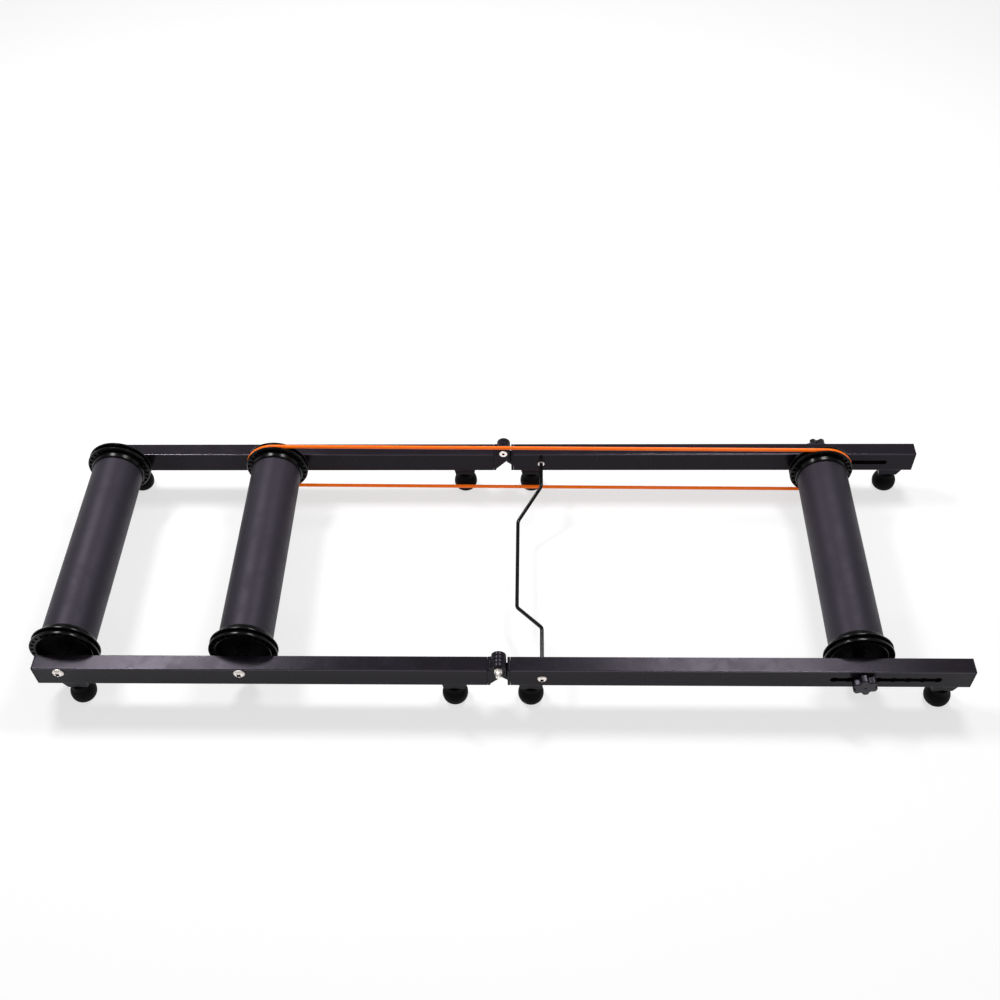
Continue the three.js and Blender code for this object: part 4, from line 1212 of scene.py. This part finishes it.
class ROLLERS_OT_stage(Step):
    """Sets up the pale floor with its round wall, the soft lights and the camera"""

    bl_idname = "rollers.stage"
    bl_label = "Stage"

    camera_place = (0.05945, -1.1649, 1.5764)
    camera_down = 49.59
    camera_yaw = -2.58
    camera_roll = -1.96
    camera_lens = 43.28
    floor_radius = 14.0
    wall_height = 5.5
    floor_glow = 0.66
    world_level = 0.26
    softboxes = (
        ("right_softbox", (0.72, 1.0, 2.0), (0.8, 0.28), 24),
        ("left_softbox", (-1.22, 1.0, 2.0), (0.75, 0.28), 33),
        ("front_softbox", (0.75, -2.3, 1.44), (0.7, 0.2), 5.5),
    )

    def seen(self, tree):
        """1 for what the camera sees, directly or in gloss or glass."""
        rays = add(tree, "ShaderNodeLightPath")
        first = add(tree, "ShaderNodeMath", {"operation": "MAXIMUM"},
                    {0: rays.outputs["Is Camera Ray"], 1: rays.outputs["Is Glossy Ray"]})
        return add(tree, "ShaderNodeMath", {"operation": "MAXIMUM"},
                   {0: first.outputs[0], 1: rays.outputs["Is Transmission Ray"]}).outputs[0]

    def floor(self):
        let_go()
        bpy.ops.mesh.primitive_cylinder_add(radius=self.floor_radius, depth=self.wall_height, vertices=64,
                                            location=(0, 0, self.wall_height / 2 - 0.5 * MM))
        placed()
        floor = bpy.context.object
        edit(floor, "FACE")
        pick("FACE", lambda middle, normal: normal.z > 0.9)
        bpy.ops.mesh.delete(type="FACE")
        bpy.ops.object.mode_set(mode="OBJECT")
        floor.name = "floor"
        material = bpy.data.materials.new("pale_floor")
        material.use_nodes = True
        tree = material.node_tree
        shader = tree.nodes["Principled BSDF"]
        shader.inputs["Base Color"].default_value = (*self.colours.floor, 1)
        shader.inputs["Roughness"].default_value = 0.9
        shader.inputs["Specular IOR Level"].default_value = 0.0
        shader.inputs["Emission Color"].default_value = (1, 1, 1, 1)
        glow = add(tree, "ShaderNodeMath", {"operation": "MULTIPLY"}, {0: self.seen(tree), 1: self.floor_glow})
        tree.links.new(glow.outputs[0], shader.inputs["Emission Strength"])
        floor.data.materials.append(material)

    def world(self):
        world = bpy.data.worlds.new("studio")
        bpy.context.scene.world = world
        world.use_nodes = True
        tree = world.node_tree
        tree.nodes["Background"].inputs["Color"].default_value = (1, 1, 1, 1)
        tree.nodes["Background"].inputs["Strength"].default_value = self.world_level

    def lamp(self, name, place, target, size, power):
        let_go()
        bpy.ops.object.light_add(type="AREA", location=place)
        lamp = bpy.context.object
        lamp.name = name
        lamp.data.shape = "RECTANGLE"
        lamp.data.size, lamp.data.size_y = size
        lamp.data.energy = power
        lamp.rotation_euler = (Vector(target) - Vector(place)).to_track_quat("-Z", "Y").to_euler()

    def camera(self):
        down, yaw, roll = (radians(angle) for angle in (self.camera_down, self.camera_yaw, self.camera_roll))
        forward = Vector((sin(yaw) * cos(down), cos(yaw) * cos(down), -sin(down)))
        right = Vector((cos(yaw), -sin(yaw), 0))
        up = right.cross(forward)
        across, upright = right * cos(roll) + up * sin(roll), up * cos(roll) - right * sin(roll)
        let_go()
        bpy.ops.object.camera_add(location=self.camera_place)
        camera = bpy.context.object
        turn = Matrix((across, upright, -forward)).transposed()
        camera.rotation_euler = turn.to_euler()
        camera.data.sensor_width = 36
        camera.data.lens = self.camera_lens
        bpy.context.scene.camera = camera

    def make(self):
        self.floor()
        self.world()
        for name, place, size, power in self.softboxes:
            self.lamp(name, place, (0, 0, 0), size, power)
        self.camera()
        bpy.context.scene.view_settings.view_transform = "Standard"


class ROLLERS_PT_panel(bpy.types.Panel):
    """Lists the steps of making the rollers"""

    bl_idname = "ROLLERS_PT_panel"
    bl_label = "Bike Rollers"
    bl_space_type = "VIEW_3D"
    bl_region_type = "UI"
    bl_category = "Rollers"

    def draw(self, context):
        for step in STEPS:
            self.layout.operator(step.bl_idname)
        for group in (context.scene.roller_sizes, context.scene.roller_colours):
            box = self.layout.box()
            for name in group.__annotations__:
                box.prop(group, name)


STEPS = (
    ROLLERS_OT_stage, ROLLERS_OT_finishes, ROLLERS_OT_rails, ROLLERS_OT_end_plugs, ROLLERS_OT_feet,
    ROLLERS_OT_hinges, ROLLERS_OT_drum_tubes, ROLLERS_OT_end_caps, ROLLERS_OT_bearings, ROLLERS_OT_axles,
    ROLLERS_OT_spacers_and_nuts, ROLLERS_OT_clamp_knobs, ROLLERS_OT_stand_rod, ROLLERS_OT_drive_belt,
)
CLASSES = (RollerSizes, RollerColours, *STEPS, ROLLERS_PT_panel)


def register():
    for cls in CLASSES:
        bpy.utils.register_class(cls)
    bpy.types.Scene.roller_sizes = bpy.props.PointerProperty(type=RollerSizes)
    bpy.types.Scene.roller_colours = bpy.props.PointerProperty(type=RollerColours)


def unregister():
    del bpy.types.Scene.roller_sizes, bpy.types.Scene.roller_colours
    for cls in reversed(CLASSES):
        bpy.utils.unregister_class(cls)


def main():
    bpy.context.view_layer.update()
    register()
    let_go()
    for step in STEPS:
        group, name = step.bl_idname.split(".")
        getattr(getattr(bpy.ops, group), name)()


if __name__ == "__main__":
    main()
